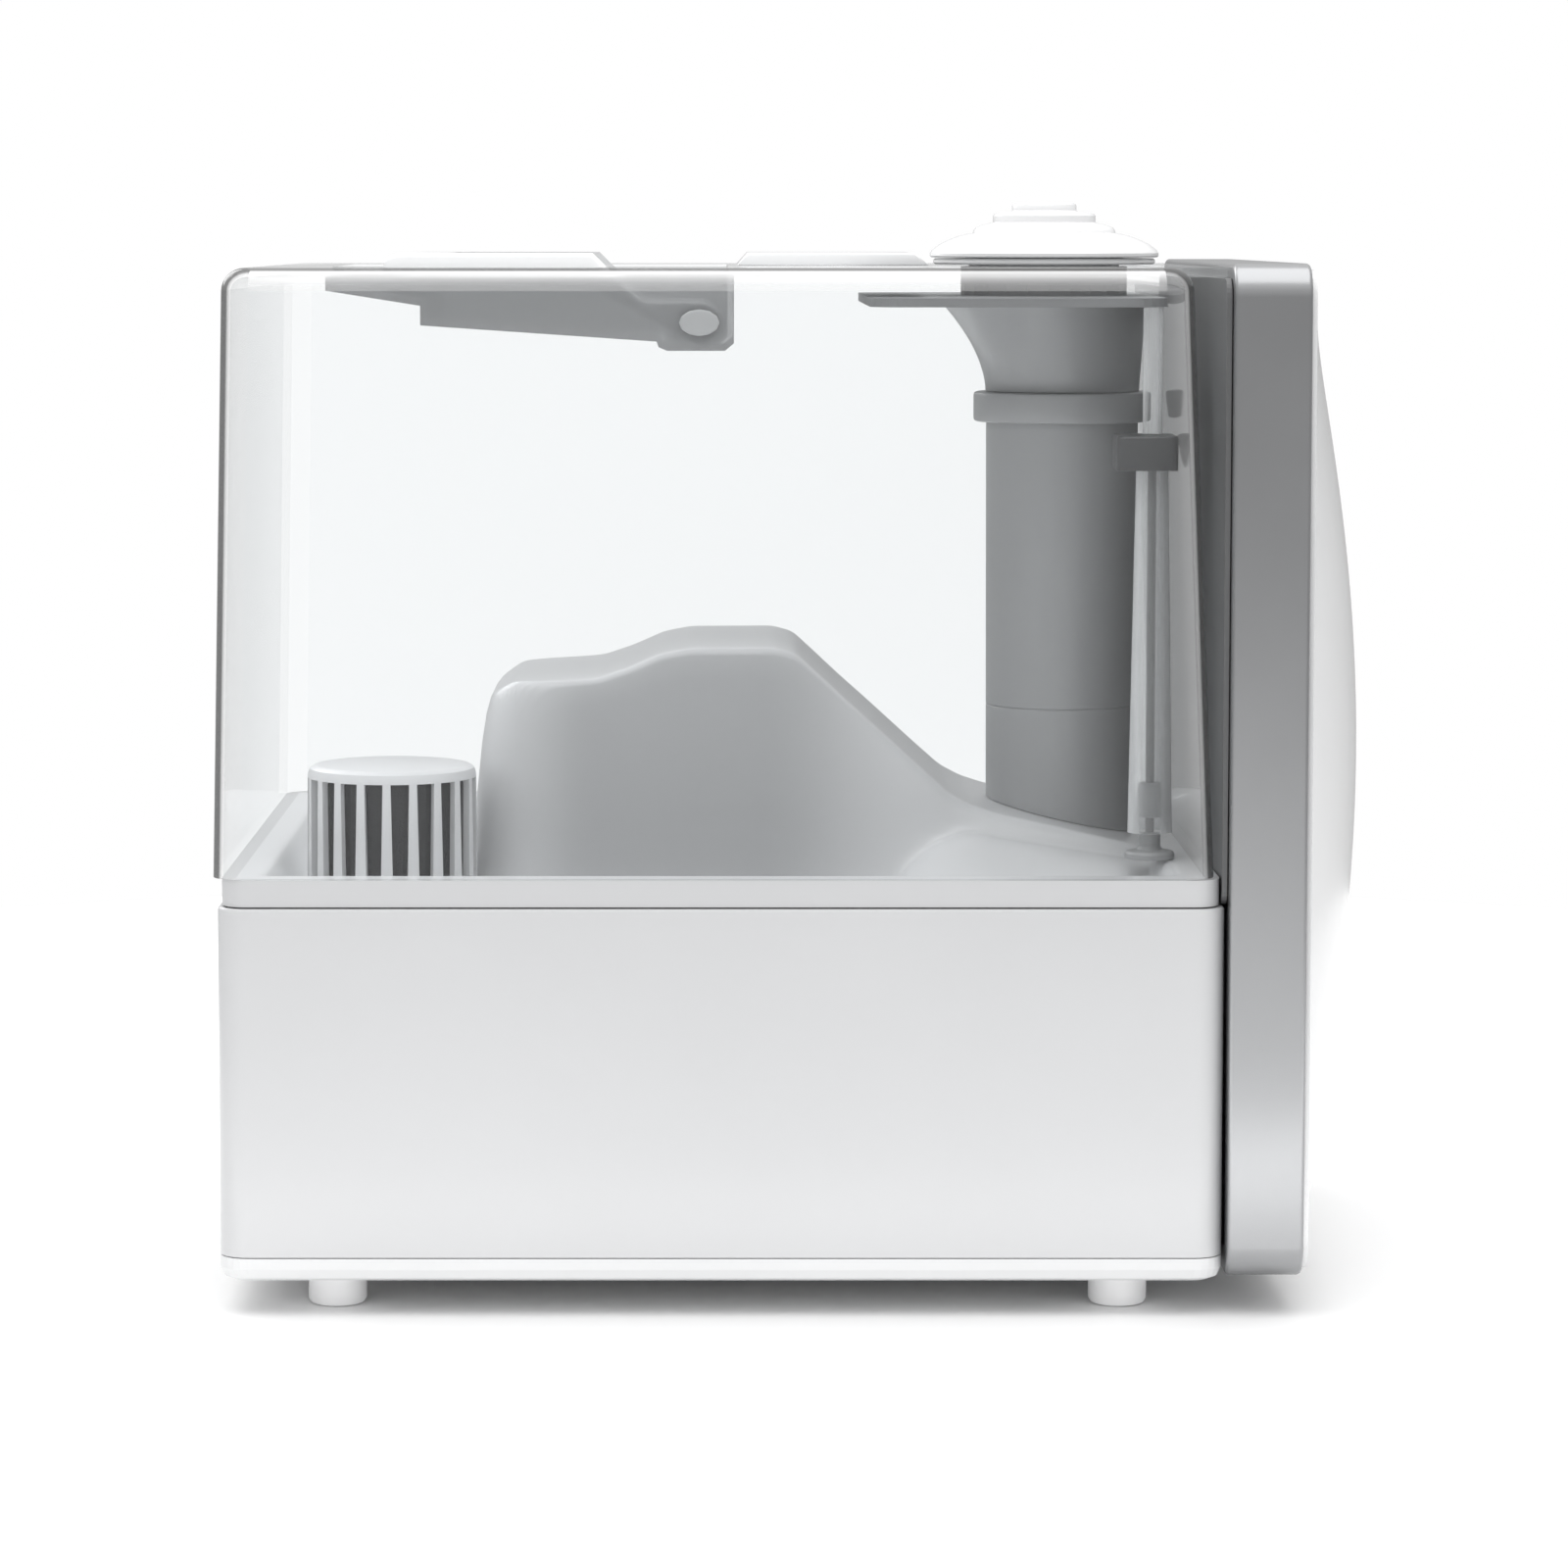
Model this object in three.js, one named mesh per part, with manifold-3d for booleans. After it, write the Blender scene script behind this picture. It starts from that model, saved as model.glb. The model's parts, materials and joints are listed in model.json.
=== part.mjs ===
// Cool mist humidifier with a lift-off water tank. Millimetres, +Z up, front towards +X.
// The origin is the middle of the bounding box at the floor.
import * as THREE from "three";
import Module from "manifold-3d";
import { mergeVertices } from "three/addons/utils/BufferGeometryUtils.js";

const wasm = await Module();
wasm.setup();
const { Manifold, Mesh } = wasm;

// ---------- Driving dimensions ----------
const gap = 0.3; // clearance between pieces that touch
const wall = 2.5; // moulded walls

// Along X
const tankOverhang = 1.1; // tank behind the base
const baseLength = 273.5;
const frameGap = 0.8;
const frameDepth = 20.8;
const fasciaRim = 1;
const fasciaBulge = 20.9;
const overallLength = tankOverhang + baseLength + frameGap + frameDepth + gap + fasciaRim + fasciaBulge;
const tankRear = -overallLength / 2;
const baseRear = tankRear + tankOverhang;
const baseFront = baseRear + baseLength;
const frameRear = baseFront + frameGap;
const frameFront = frameRear + frameDepth;
const fasciaRear = frameFront + gap;
const fasciaEdge = fasciaRear + fasciaRim;
const fasciaApex = fasciaEdge + fasciaBulge;

// Along Y
const baseWidth = 216;
const frameWidth = 218;
const halfWidth = baseWidth / 2;

// Along Z
const footHeight = 9.5;
const plateHeight = 6.6; // visible side of the bottom plate
const housingHeight = 95.5;
const rimHeight = 7.4; // tank floor's rim between base and clear tank
const tankHeight = 164.8;
const housingBottom = footHeight + plateHeight + gap;
const deckTop = housingBottom + housingHeight;
const rimTop = deckTop + gap + rimHeight;
const tankTop = rimTop + gap + tankHeight;
const tankWall = 2.6;
const ceiling = tankTop - tankWall;
const cornerRadius = 8;

// Base parts
const footRadius = 8;
const footInset = 31;
const footFrontInset = 27.4;
const footSideInset = 20;
const basinDepth = 32;
const basinFloor = deckTop - basinDepth;
const basinRim = 5;
const boardThickness = 1.6;
const boardHeight = housingBottom + 13.6;

// Fan turret that stands up into the tank floor's dome
const domeHalfWidth = 46;
const domeRear = baseRear + 65;
const domeCorner = 26;
const domeClearance = 3;
const fanX = domeRear + 52;
const fanRadius = 29;
const fanHeight = 22;
const fanBottom = basinFloor + 12;

// Mist chimney
const chimneyX = baseFront - 37.9;
const chimneyRadius = 22.2;
const chimneyWall = 2;
const collarRadius = 25.65;
const collarHeight = 8.6;
const socketPlate = 2.5;
const socketGap = 6; // between the socket plate and the tank's ceiling
const nozzleX = chimneyX - 5.5;
const nozzleRadius = 33;
const socketRadius = 24;

// Tank floor
const floorWall = 2.5;
const rimWidth = 13;
const troughDepth = 12;
const troughFloor = rimTop - troughDepth;
const slopeRise = 13;

// Cartridge and filling cap
const capX = baseRear + 44.1;
const capOutset = 2; // how far the cap's middle lies outside the dome's side
const capY = -(domeHalfWidth + capOutset);
const cartridgeRadius = 24;
const neckClearance = 1;
const neckHeight = 11;
const capRadius = 31;
const cartridgeTop = troughFloor + 37.5;
const slotCount = 20;

// Level gauge
const gaugeX = baseFront - 16.9;
const gaugeY = -60;
const gaugeRadius = 4.5; // at the top; the tube widens downwards
const gaugeBaseRadius = 6.2;
const gaugeWall = 0.8;
const gaugeRodRadius = 1.25;
const clampHeight = 9.6;
const clampBottom = rimTop + 109;
const gaugeFootHeight = 7;
const gaugeFloatHeight = 9.7;

// Handle
const pivotX = baseRear + 130.7;
const pivotZ = tankTop - 15.7;
const pinRadius = 3;
const pinClearance = 0.3;
const handleHalfWidth = 43.2;
const armWidth = 7.2;
const gripRear = baseRear + 42;
const gripDepth = 18;
const handleCrown = 3.7; // how far the handle and the plate stand above the tank
const wellRear = baseRear + 26;
const wellWall = 1.8;
const wellFront = pivotX + 9.7;

// Controls on the fascia
const fasciaMiddle = (housingBottom + tankTop) / 2 - 5.5;
const fasciaBottom = footHeight + 2.5;
const fasciaTop = tankTop - 0.6;
const buttonRadius = 7;
const buttonPitch = 26;
const windowWidth = 56;
const windowHeight = 26;
const windowZ = fasciaMiddle + 46;

// ---------- Helpers ----------
function toSolid(geometry) {
  const plain = geometry.clone();
  plain.deleteAttribute("normal");
  plain.deleteAttribute("uv");
  const merged = mergeVertices(plain, 1e-4);
  const at = merged.attributes.position;
  const indices = Array.from(merged.index.array);
  const triangles = [];
  let volume = 0;
  for (let i = 0; i < indices.length; i += 3) {
    const [a, b, c] = indices.slice(i, i + 3);
    if (a === b || b === c || c === a) continue;
    triangles.push([a, b, c]);
    const [p, q, r] = [a, b, c].map((k) => new THREE.Vector3().fromBufferAttribute(at, k));
    volume += p.dot(q.cross(r));
  }
  const outward = volume > 0 ? triangles : triangles.map(([a, b, c]) => [a, c, b]);
  return new Manifold(
    new Mesh({
      numProp: 3,
      vertProperties: Float32Array.from(at.array),
      triVerts: Uint32Array.from(outward.flat()),
    }),
  );
}

function toGeometry(solid) {
  const mesh = solid.getMesh();
  const geometry = new THREE.BufferGeometry();
  geometry.setAttribute("position", new THREE.BufferAttribute(Float32Array.from(mesh.vertProperties), 3));
  geometry.setIndex(Array.from(mesh.triVerts));
  geometry.computeVertexNormals();
  return geometry;
}

function box(x0, x1, y0, y1, z0, z1) {
  const geometry = new THREE.BoxGeometry(x1 - x0, y1 - y0, z1 - z0);
  return toSolid(geometry.translate((x0 + x1) / 2, (y0 + y1) / 2, (z0 + z1) / 2));
}

function roundedRect(x0, x1, y0, y1, r) {
  const quarter = Math.PI / 2;
  const shape = new THREE.Shape();
  shape.absarc(x1 - r, y0 + r, r, -quarter, 0);
  shape.absarc(x1 - r, y1 - r, r, 0, quarter);
  shape.absarc(x0 + r, y1 - r, r, quarter, 2 * quarter);
  shape.absarc(x0 + r, y0 + r, r, 2 * quarter, 3 * quarter);
  return shape;
}

// An upright prism from z0 to z1, with its top and bottom edges rounded by `round`
function prism(shape, z0, z1, round = 0, curveSegments = 3) {
  const geometry = new THREE.ExtrudeGeometry(shape, {
    depth: z1 - z0 - 2 * round,
    curveSegments,
    bevelEnabled: round > 0,
    bevelThickness: round,
    bevelSize: round,
    bevelOffset: -round,
    bevelSegments: 2,
  });
  return toSolid(geometry.translate(0, 0, z0 + round));
}

// A shape drawn in X and Z, extruded across from y0 to y1
function across(shape, y0, y1, round = 0, curveSegments = 4) {
  return prism(shape, -y1, -y0, round, curveSegments).rotate([90, 0, 0]);
}

// A shape drawn in Y and Z, extruded along from x0 to x1
function along(shape, x0, x1, round = 0, curveSegments = 3) {
  return prism(shape, x0, x1, round, curveSegments).rotate([90, 0, 90]);
}

function outline(points) {
  return new THREE.Shape(points.map(([x, y]) => new THREE.Vector2(x, y)));
}

// A closed turned body about a vertical axis at (x, y); its outline is [radius, z] points
function turned(points, x = 0, y = 0, segments = 24) {
  const profile = points.map(([r, z]) => new THREE.Vector2(r, z));
  return toSolid(new THREE.LatheGeometry(profile, segments).rotateX(Math.PI / 2)).translate([x, y, 0]);
}

function cylinder(r, z0, z1, x = 0, y = 0, segments = 24) {
  return turned([[0, z0], [r, z0], [r, z1], [0, z1]], x, y, segments);
}

function pipe(rOut, rIn, z0, z1, x = 0, y = 0, segments = 24) {
  return turned([[rIn, z0], [rOut, z0], [rOut, z1], [rIn, z1], [rIn, z0]], x, y, segments);
}

// Moves a solid's vertices by a function of their place
function warped(solid, move) {
  return solid.warp((v) => {
    const [x, y, z] = move(v[0], v[1], v[2]);
    v[0] = x;
    v[1] = y;
    v[2] = z;
  });
}

const object = new THREE.Group();

function add(name, solid, look, parent = object) {
  const mesh = new THREE.Mesh(toGeometry(solid), new THREE.MeshStandardMaterial(look));
  mesh.name = name;
  parent.add(mesh);
  return mesh;
}

const whitePlastic = { color: "#f0f1f2", roughness: 0.35, metalness: 0 };
const clearPlastic = { color: "#dfe6ea", roughness: 0.05, metalness: 0, transparent: true, opacity: 0.3 };
const greyPlastic = { color: "#8d9092", roughness: 0.4, metalness: 0 };
const darkPlastic = { color: "#3a3c3e", roughness: 0.45, metalness: 0 };
const silverPaint = { color: "#b9bcbf", roughness: 0.35, metalness: 0.7 };
const rubber = { color: "#5a5c5e", roughness: 0.8, metalness: 0 };
const steel = { color: "#a8abad", roughness: 0.3, metalness: 1 };
const boardGreen = { color: "#1f5a3a", roughness: 0.5, metalness: 0 };

// ---------- Base housing: walls with screw bosses and a ledge for the basin ----------
const screwX = [baseRear + 9, baseFront - 9];
const screwY = [-(halfWidth - 9), halfWidth - 9];
const screwShank = 1.8;
const screwHead = 4;
const bossRadius = 7;
const bossHeight = 40;
const ledgeThickness = 3;
const basinFlange = 2.4;
const basinRear = baseRear + basinRim;
const basinFront = baseFront - basinRim;
const basinHalf = halfWidth - basinRim;
const flangeTop = deckTop - gap;
const ledgeTop = flangeTop - basinFlange - gap;

function baseOutline(inset) {
  return roundedRect(
    baseRear + inset,
    baseFront - inset,
    -halfWidth + inset,
    halfWidth - inset,
    cornerRadius - inset,
  );
}

const inletY = 60;
const inletZ = housingBottom + 24;
const inletWidth = 24;
const inletHeight = 15;
const inletDepth = 18;

let housing = prism(baseOutline(0), housingBottom, deckTop);
housing = housing.subtract(prism(baseOutline(wall), housingBottom - 1, ledgeTop - ledgeThickness));
housing = housing.subtract(prism(baseOutline(wall), ledgeTop, deckTop + 1));
housing = housing.subtract(
  prism(
    roundedRect(basinRear - gap, basinFront + gap, -basinHalf - gap, basinHalf + gap, cornerRadius - wall),
    ledgeTop - ledgeThickness - 1,
    ledgeTop + 1,
  ),
);
for (const x of screwX) {
  for (const y of screwY) {
    housing = housing.add(cylinder(bossRadius, housingBottom, housingBottom + bossHeight, x, y, 10));
    housing = housing.subtract(
      cylinder(screwShank + gap, housingBottom - 1, housingBottom + 16, x, y, 8),
    );
  }
}
housing = housing.intersect(prism(baseOutline(0), housingBottom, deckTop));
housing = housing.subtract(
  box(
    baseRear - 1,
    baseRear + wall + 1,
    inletY - inletWidth / 2 - gap,
    inletY + inletWidth / 2 + gap,
    inletZ - inletHeight / 2 - gap,
    inletZ + inletHeight / 2 + gap,
  ),
);
add("base_housing", housing, whitePlastic);

// ---------- Bottom plate: a shallow tray with an intake grille and screw recesses ----------
const plateTop = footHeight + plateHeight;
const plateFloor = 3;
const grilleSlots = 7;
const grillePitch = 7;
const grilleLength = 44;
const grilleWidth = 3;
let plate = prism(baseOutline(0), footHeight, plateTop + 4, 3.5).intersect(
  box(baseRear - 1, baseFront + 1, -halfWidth - 1, halfWidth + 1, footHeight, plateTop),
);
plate = plate.subtract(prism(baseOutline(wall), footHeight + plateFloor, plateTop + 1));
for (let i = 0; i < grilleSlots; i++) {
  const x = fanX + (i - (grilleSlots - 1) / 2) * grillePitch;
  plate = plate.subtract(
    box(x - grilleWidth / 2, x + grilleWidth / 2, -grilleLength / 2, grilleLength / 2, 0, plateTop),
  );
}
const headDepth = 2;
for (const x of screwX) {
  for (const y of screwY) {
    plate = plate.add(cylinder(bossRadius - 1, footHeight + plateFloor - 0.5, plateTop, x, y, 10));
    plate = plate.subtract(cylinder(screwHead + gap, 0, footHeight + headDepth + 1, x, y, 10));
    plate = plate.subtract(cylinder(screwShank + gap, 0, plateTop + 1, x, y, 8));
  }
}
add("bottom_plate", plate, whitePlastic);

let screwNumber = 0;
for (const x of screwX) {
  for (const y of screwY) {
    screwNumber += 1;
    const top = footHeight + headDepth + 1 - gap;
    const screw = cylinder(screwHead, top - headDepth, top, x, y, 10)
      .add(cylinder(screwShank, top - 0.5, housingBottom + 14, x, y, 8))
      .subtract(box(x - 2.6, x + 2.6, y - 0.5, y + 0.5, 0, top - headDepth + 1))
      .subtract(box(x - 0.5, x + 0.5, y - 2.6, y + 2.6, 0, top - headDepth + 1));
    add(`base_screw_${screwNumber}`, screw, steel);
  }
}

// ---------- Four round feet ----------
const footX = [baseRear + footInset, baseFront - footFrontInset];
const footY = [-(halfWidth - footSideInset), halfWidth - footSideInset];
let footNumber = 0;
for (const x of footX) {
  for (const y of footY) {
    footNumber += 1;
    const r = footRadius;
    const foot = turned([[0, 0], [r - 1, 0], [r, 1], [r, footHeight - gap], [0, footHeight - gap]], x, y, 16);
    add(`foot_${footNumber}`, foot, whitePlastic);
  }
}

// ---------- Water basin with the fan turret ----------
// The turret follows the dome's side profile, set in by the dome's wall and a clearance.
const domeTop = rimTop + 57.5;
const domeShoulder = rimTop + 48;
const rampFoot = [chimneyX - 29.5, rimTop + slopeRise];

function domeProfile(inset, bottom) {
  const rear = domeRear + inset;
  return outline([
    [rear, bottom],
    [rear, domeShoulder - 12 - inset],
    [rear + 3.5, domeShoulder - 3.5 - inset],
    [rear + 12, domeShoulder - inset],
    [domeRear + 33, domeShoulder - inset],
    [domeRear + 46, domeShoulder + 3 - inset],
    [domeRear + 57, domeTop - inset],
    [domeRear + 90 - inset / 2, domeTop - inset],
    [domeRear + 97 - inset / 2, domeTop - 5 - inset],
    [domeRear + 116 - inset / 2, domeShoulder - 13 - inset],
    [rampFoot[0] - inset, rampFoot[1] - inset * 0.5],
    [rampFoot[0] - inset, bottom],
  ]);
}

function domeSolid(inset, bottom) {
  const half = domeHalfWidth - inset;
  const plan = new THREE.Shape();
  const r = domeCorner - inset;
  const rear = domeRear + inset;
  const front = rampFoot[0] - inset;
  plan.absarc(rear + r, half - r, r, Math.PI / 2, Math.PI);
  plan.absarc(rear + r, -half + r, r, Math.PI, Math.PI * 1.5);
  plan.lineTo(front, -half);
  plan.lineTo(front, half);
  return across(domeProfile(inset, bottom - 15), -half, half, 9 - inset / 2).intersect(
    prism(plan, bottom, domeTop + 1, 0, 6),
  );
}

const turretInset = floorWall + domeClearance;
const outletHalf = 13;
const outletBottom = fanBottom + 2;
const outletTop = fanBottom + fanHeight - 2;
const ductRoom = 2.4; // how much larger the hole for the duct is than its passage
let basin = prism(baseOutline(wall + gap), flangeTop - basinFlange, flangeTop);
basin = basin.add(
  prism(
    roundedRect(basinRear, basinFront, -basinHalf, basinHalf, cornerRadius - wall),
    basinFloor - wall,
    flangeTop,
  ),
);
basin = basin.subtract(
  prism(
    roundedRect(
      basinRear + wall,
      basinFront - wall,
      -basinHalf + wall,
      basinHalf - wall,
      cornerRadius - wall - 1,
    ),
    basinFloor,
    deckTop + 1,
  ),
);
basin = basin.add(domeSolid(turretInset, basinFloor - wall));
basin = basin.subtract(domeSolid(turretInset + wall, basinFloor - wall - 1));
const turretFront = rampFoot[0] - turretInset;
basin = basin.subtract(
  box(
    turretFront - wall - 1,
    turretFront + 1,
    -outletHalf - ductRoom,
    outletHalf + ductRoom,
    outletBottom - ductRoom,
    outletTop + ductRoom,
  ),
);
const discRadius = 10;
const retainerRadius = 17;
const postRadius = 3;
const floatX = chimneyX;
const floatY = -46;
const riserRadius = 4;
const riserHeight = 4.2;
basin = basin.subtract(cylinder(discRadius + gap, basinFloor - wall - 1, basinFloor + 1, chimneyX, 0, 24));
basin = basin.add(cylinder(riserRadius, basinFloor - 0.5, basinFloor + riserHeight, capX, capY, 16));
add("water_basin", basin, whitePlastic);

// ---------- Mist transducer, its retainer and the level float ----------
const discThickness = 1.2;
add(
  "transducer_disc",
  cylinder(discRadius, basinFloor - wall, basinFloor - wall + discThickness, chimneyX, 0, 24),
  steel,
);
add(
  "transducer_retainer",
  turned(
    [
      [discRadius - 1, basinFloor + gap],
      [retainerRadius, basinFloor + gap],
      [retainerRadius - 1.5, basinFloor + 3.5],
      [discRadius + 2, basinFloor + 4],
      [discRadius - 1, basinFloor + gap],
    ],
    chimneyX,
    0,
    24,
  ),
  greyPlastic,
);
const floatTravel = 12;
const floatHeight = 14;
const floatBottom = basinFloor + 2 + 2 * gap;
const postTop = floatBottom + floatHeight + floatTravel + gap;
add(
  "float_post",
  cylinder(6, basinFloor + gap, basinFloor + 2, floatX, floatY, 16)
    .add(cylinder(postRadius, basinFloor + 1, postTop, floatX, floatY, 16))
    .add(cylinder(6, postTop, postTop + 2, floatX, floatY, 16)),
  whitePlastic,
);
add(
  "level_float",
  pipe(11.5, postRadius + gap, floatBottom, floatBottom + floatHeight, floatX, floatY, 24),
  whitePlastic,
);

// ---------- Fan: housing, impeller, motor and duct ----------
const housingWall = 1.8;
const shaftRadius = 1.5;
const motorRadius = 14;
const fanTop = fanBottom + fanHeight;
let fanHousing = cylinder(fanRadius, fanBottom, fanTop, fanX, 0, 24);
fanHousing = fanHousing.add(box(fanX, fanX + fanRadius + 2, -outletHalf, outletHalf, fanBottom, fanTop));
fanHousing = fanHousing.subtract(
  cylinder(fanRadius - housingWall, fanBottom + housingWall, fanTop - housingWall, fanX, 0, 24).add(
    box(
      fanX,
      fanX + fanRadius + 3,
      -outletHalf + housingWall,
      outletHalf - housingWall,
      fanBottom + housingWall,
      fanTop - housingWall,
    ),
  ),
);
fanHousing = fanHousing.subtract(cylinder(15, fanTop - housingWall - 1, fanTop + 1, fanX, 0, 24));
fanHousing = fanHousing.subtract(
  cylinder(shaftRadius + 1, fanBottom - 1, fanBottom + housingWall + 1, fanX, 0, 16),
);
add("fan_housing", fanHousing, darkPlastic);

const bladeCount = 12;
const impellerRadius = fanRadius - 4.5;
const impellerBottom = fanBottom + housingWall + 1.2;
const impellerTop = fanTop - housingWall - 1.5;
let impeller = cylinder(impellerRadius, impellerBottom, impellerBottom + 1.6, fanX, 0, 24);
impeller = impeller.add(cylinder(6, impellerBottom, impellerBottom + 10, fanX, 0, 16));
for (let i = 0; i < bladeCount; i++) {
  const blade = box(impellerRadius - 9, impellerRadius - 0.6, -0.5, 0.5, impellerBottom + 1, impellerTop)
    .rotate([0, 0, (360 / bladeCount) * i])
    .translate([fanX, 0, 0]);
  impeller = impeller.add(blade);
}
impeller = impeller.subtract(
  cylinder(shaftRadius + gap, impellerBottom - 1, impellerBottom + 8, fanX, 0, 16),
);
add("fan_impeller", impeller, darkPlastic);
add(
  "fan_motor",
  cylinder(motorRadius, fanBottom - gap - 20, fanBottom - gap, fanX, 0, 24).add(
    cylinder(shaftRadius, fanBottom - 1, impellerBottom + 7, fanX, 0, 16),
  ),
  steel,
);
const ductRear = fanX + fanRadius + 2 + gap;
const ductFront = turretFront - gap;
const duct = box(ductRear, ductFront, -outletHalf, outletHalf, outletBottom - 2, outletTop + 2).subtract(
  box(
    ductRear - 1,
    ductFront + 1,
    -outletHalf + housingWall,
    outletHalf - housingWall,
    outletBottom - 2 + housingWall,
    outletTop + 2 - housingWall,
  ),
);
add("air_duct", duct, greyPlastic);

// ---------- Electronics in the base ----------
function board(name, x0, x1, y0, y1, z, chips) {
  let solid = box(x0, x1, y0, y1, z, z + boardThickness);
  for (const [x, y, w, d, h] of chips) {
    solid = solid.add(box(x - w / 2, x + w / 2, y - d / 2, y + d / 2, z + 1, z + boardThickness + h));
  }
  add(name, solid, boardGreen);
}

const powerX = baseRear + 55;
board("power_board", powerX - 28, powerX + 28, -70, 30, boardHeight, [
  [powerX - 14, -50, 14, 14, 18],
  [powerX + 12, -30, 10, 22, 12],
  [powerX, 10, 22, 12, 9],
]);
add(
  "transformer",
  box(powerX + 36, powerX + 72, 40, 84, boardHeight, boardHeight + 30).add(
    box(powerX + 41, powerX + 67, 35, 89, boardHeight + 5, boardHeight + 25),
  ),
  darkPlastic,
);
const driverZ = basinFloor - 22;
board("driver_board", chimneyX - 26, chimneyX + 26, -28, 28, driverZ, [
  [chimneyX - 12, 10, 12, 12, 8],
  [chimneyX + 10, -12, 8, 14, 10],
]);
let heatSink = box(chimneyX - 22, chimneyX + 22, -24, 24, driverZ - gap - 3, driverZ - gap);
for (let i = 0; i < 7; i++) {
  const x = chimneyX - 21 + i * 7;
  heatSink = heatSink.add(box(x - 1, x + 1, -24, 24, driverZ - gap - 18, driverZ - gap - 2));
}
add("heat_sink", heatSink, steel);

// ---------- Power inlet in the rear wall: a two-pin socket ----------
const inletHalf = inletWidth / 2;
let inlet = box(
  baseRear,
  baseRear + inletDepth,
  inletY - inletHalf,
  inletY + inletHalf,
  inletZ - inletHeight / 2,
  inletZ + inletHeight / 2,
);
inlet = inlet.subtract(
  along(roundedRect(inletY - 8, inletY + 8, inletZ - 4.5, inletZ + 4.5, 4.4), baseRear - 1, baseRear + inletDepth - 3),
);
for (const side of [-1, 1]) {
  const pin = along(
    roundedRect(inletY + side * 4.3 - 1.2, inletY + side * 4.3 + 1.2, inletZ - 1.2, inletZ + 1.2, 1.1),
    baseRear + 3,
    baseRear + inletDepth - 2,
  );
  inlet = inlet.add(pin);
}
add("power_inlet", inlet, darkPlastic);

// ---------- Front tower: rear panel, silver frame and domed fascia ----------
const towerCorner = 9;
const frameWall = 8;
const panelThickness = 1.4;
add(
  "tower_panel",
  along(
    roundedRect(-halfWidth + 5, halfWidth - 5, deckTop + gap, ceiling - gap, 5),
    frameRear - gap - panelThickness,
    frameRear - gap,
  ),
  greyPlastic,
);
const frameOutline = (inset) =>
  roundedRect(
    -frameWidth / 2 + inset,
    frameWidth / 2 - inset,
    footHeight + 0.8 + inset,
    tankTop + 1.2 - inset,
    towerCorner - inset * 0.8,
  );
const frameWeb = 3;
const ventWidth = 60;
add(
  "front_frame",
  along(frameOutline(0), frameRear, frameFront, 1)
    .subtract(along(frameOutline(frameWall), frameRear + frameWeb, frameFront + 1))
    .subtract(
      box(
        frameRear - 1,
        frameRear + frameWeb + 1,
        -ventWidth / 2,
        ventWidth / 2,
        housingBottom + 20,
        deckTop - 20,
      ),
    ),
  silverPaint,
);

const bulge = fasciaBulge;
const halfTall = (fasciaTop - fasciaBottom) / 2;
const middle = (fasciaTop + fasciaBottom) / 2;
const halfWide = frameWidth / 2 - 1.5;
const tallRadius = (halfTall ** 2 + bulge ** 2) / (2 * bulge);
const wideRadius = (halfWide ** 2 + bulge ** 2) / (2 * bulge);

// An arc segment between two ends, bulging towards +X
function arcSlice(radius, half, centre, inset) {
  const shape = new THREE.Shape();
  const start = Math.asin(half / radius);
  shape.absarc(fasciaApex - radius - inset, centre, radius, -start, start);
  shape.lineTo(fasciaRear - 2, centre + half);
  shape.lineTo(fasciaRear - 2, centre - half);
  return shape;
}

function pillow(inset) {
  const side = across(arcSlice(tallRadius, halfTall, middle, inset), -halfWide, halfWide, 0, 12);
  const plan = prism(arcSlice(wideRadius, halfWide, 0, inset), fasciaBottom - 1, fasciaTop + 1, 0, 10);
  const block = along(
    roundedRect(-halfWide + inset, halfWide - inset, fasciaBottom + inset, fasciaTop - inset, towerCorner - inset),
    inset > 0 ? fasciaRear - 1 : fasciaRear,
    fasciaApex + 1,
  );
  return side.intersect(plan).intersect(block);
}

// The fascia's place and tilt at a height, for what sits flush in it
function fasciaPlace(z) {
  const rise = (z - middle) / tallRadius;
  return { x: fasciaApex - tallRadius * (1 - Math.cos(Math.asin(rise))), tilt: Math.asin(rise) };
}

const windowPlace = fasciaPlace(windowZ);
const windowThickness = 2;
const windowTilt = -THREE.MathUtils.radToDeg(windowPlace.tilt);
function onWindow(solid) {
  return solid.rotate([0, windowTilt, 0]).translate([windowPlace.x, 0, windowZ]);
}
const windowHalfW = windowWidth / 2;
const windowHalfH = windowHeight / 2;
const windowCut = onWindow(
  along(roundedRect(-windowHalfW - gap, windowHalfW + gap, -windowHalfH - gap, windowHalfH + gap, 4), -12, 5),
);
const buttonSpots = [-1, 0, 1].map((side) => {
  const y = side * buttonPitch;
  return { y, x: fasciaApex - wideRadius + Math.sqrt(wideRadius ** 2 - (Math.abs(y) + buttonRadius) ** 2) };
});
let fascia = pillow(0).subtract(pillow(wall)).subtract(windowCut);
for (const { y } of buttonSpots) {
  fascia = fascia.subtract(
    cylinder(buttonRadius + gap, fasciaRear, fasciaApex + 1, 0, 0, 16)
      .rotate([0, 90, 0])
      .translate([0, y, middle]),
  );
}
add("front_fascia", fascia, whitePlastic);
add(
  "display_window",
  onWindow(along(roundedRect(-windowHalfW, windowHalfW, -windowHalfH, windowHalfH, 3.7), -windowThickness, -0.3)),
  { color: "#202326", roughness: 0.1, metalness: 0 },
);
const controlX = frameFront - 6;
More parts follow.
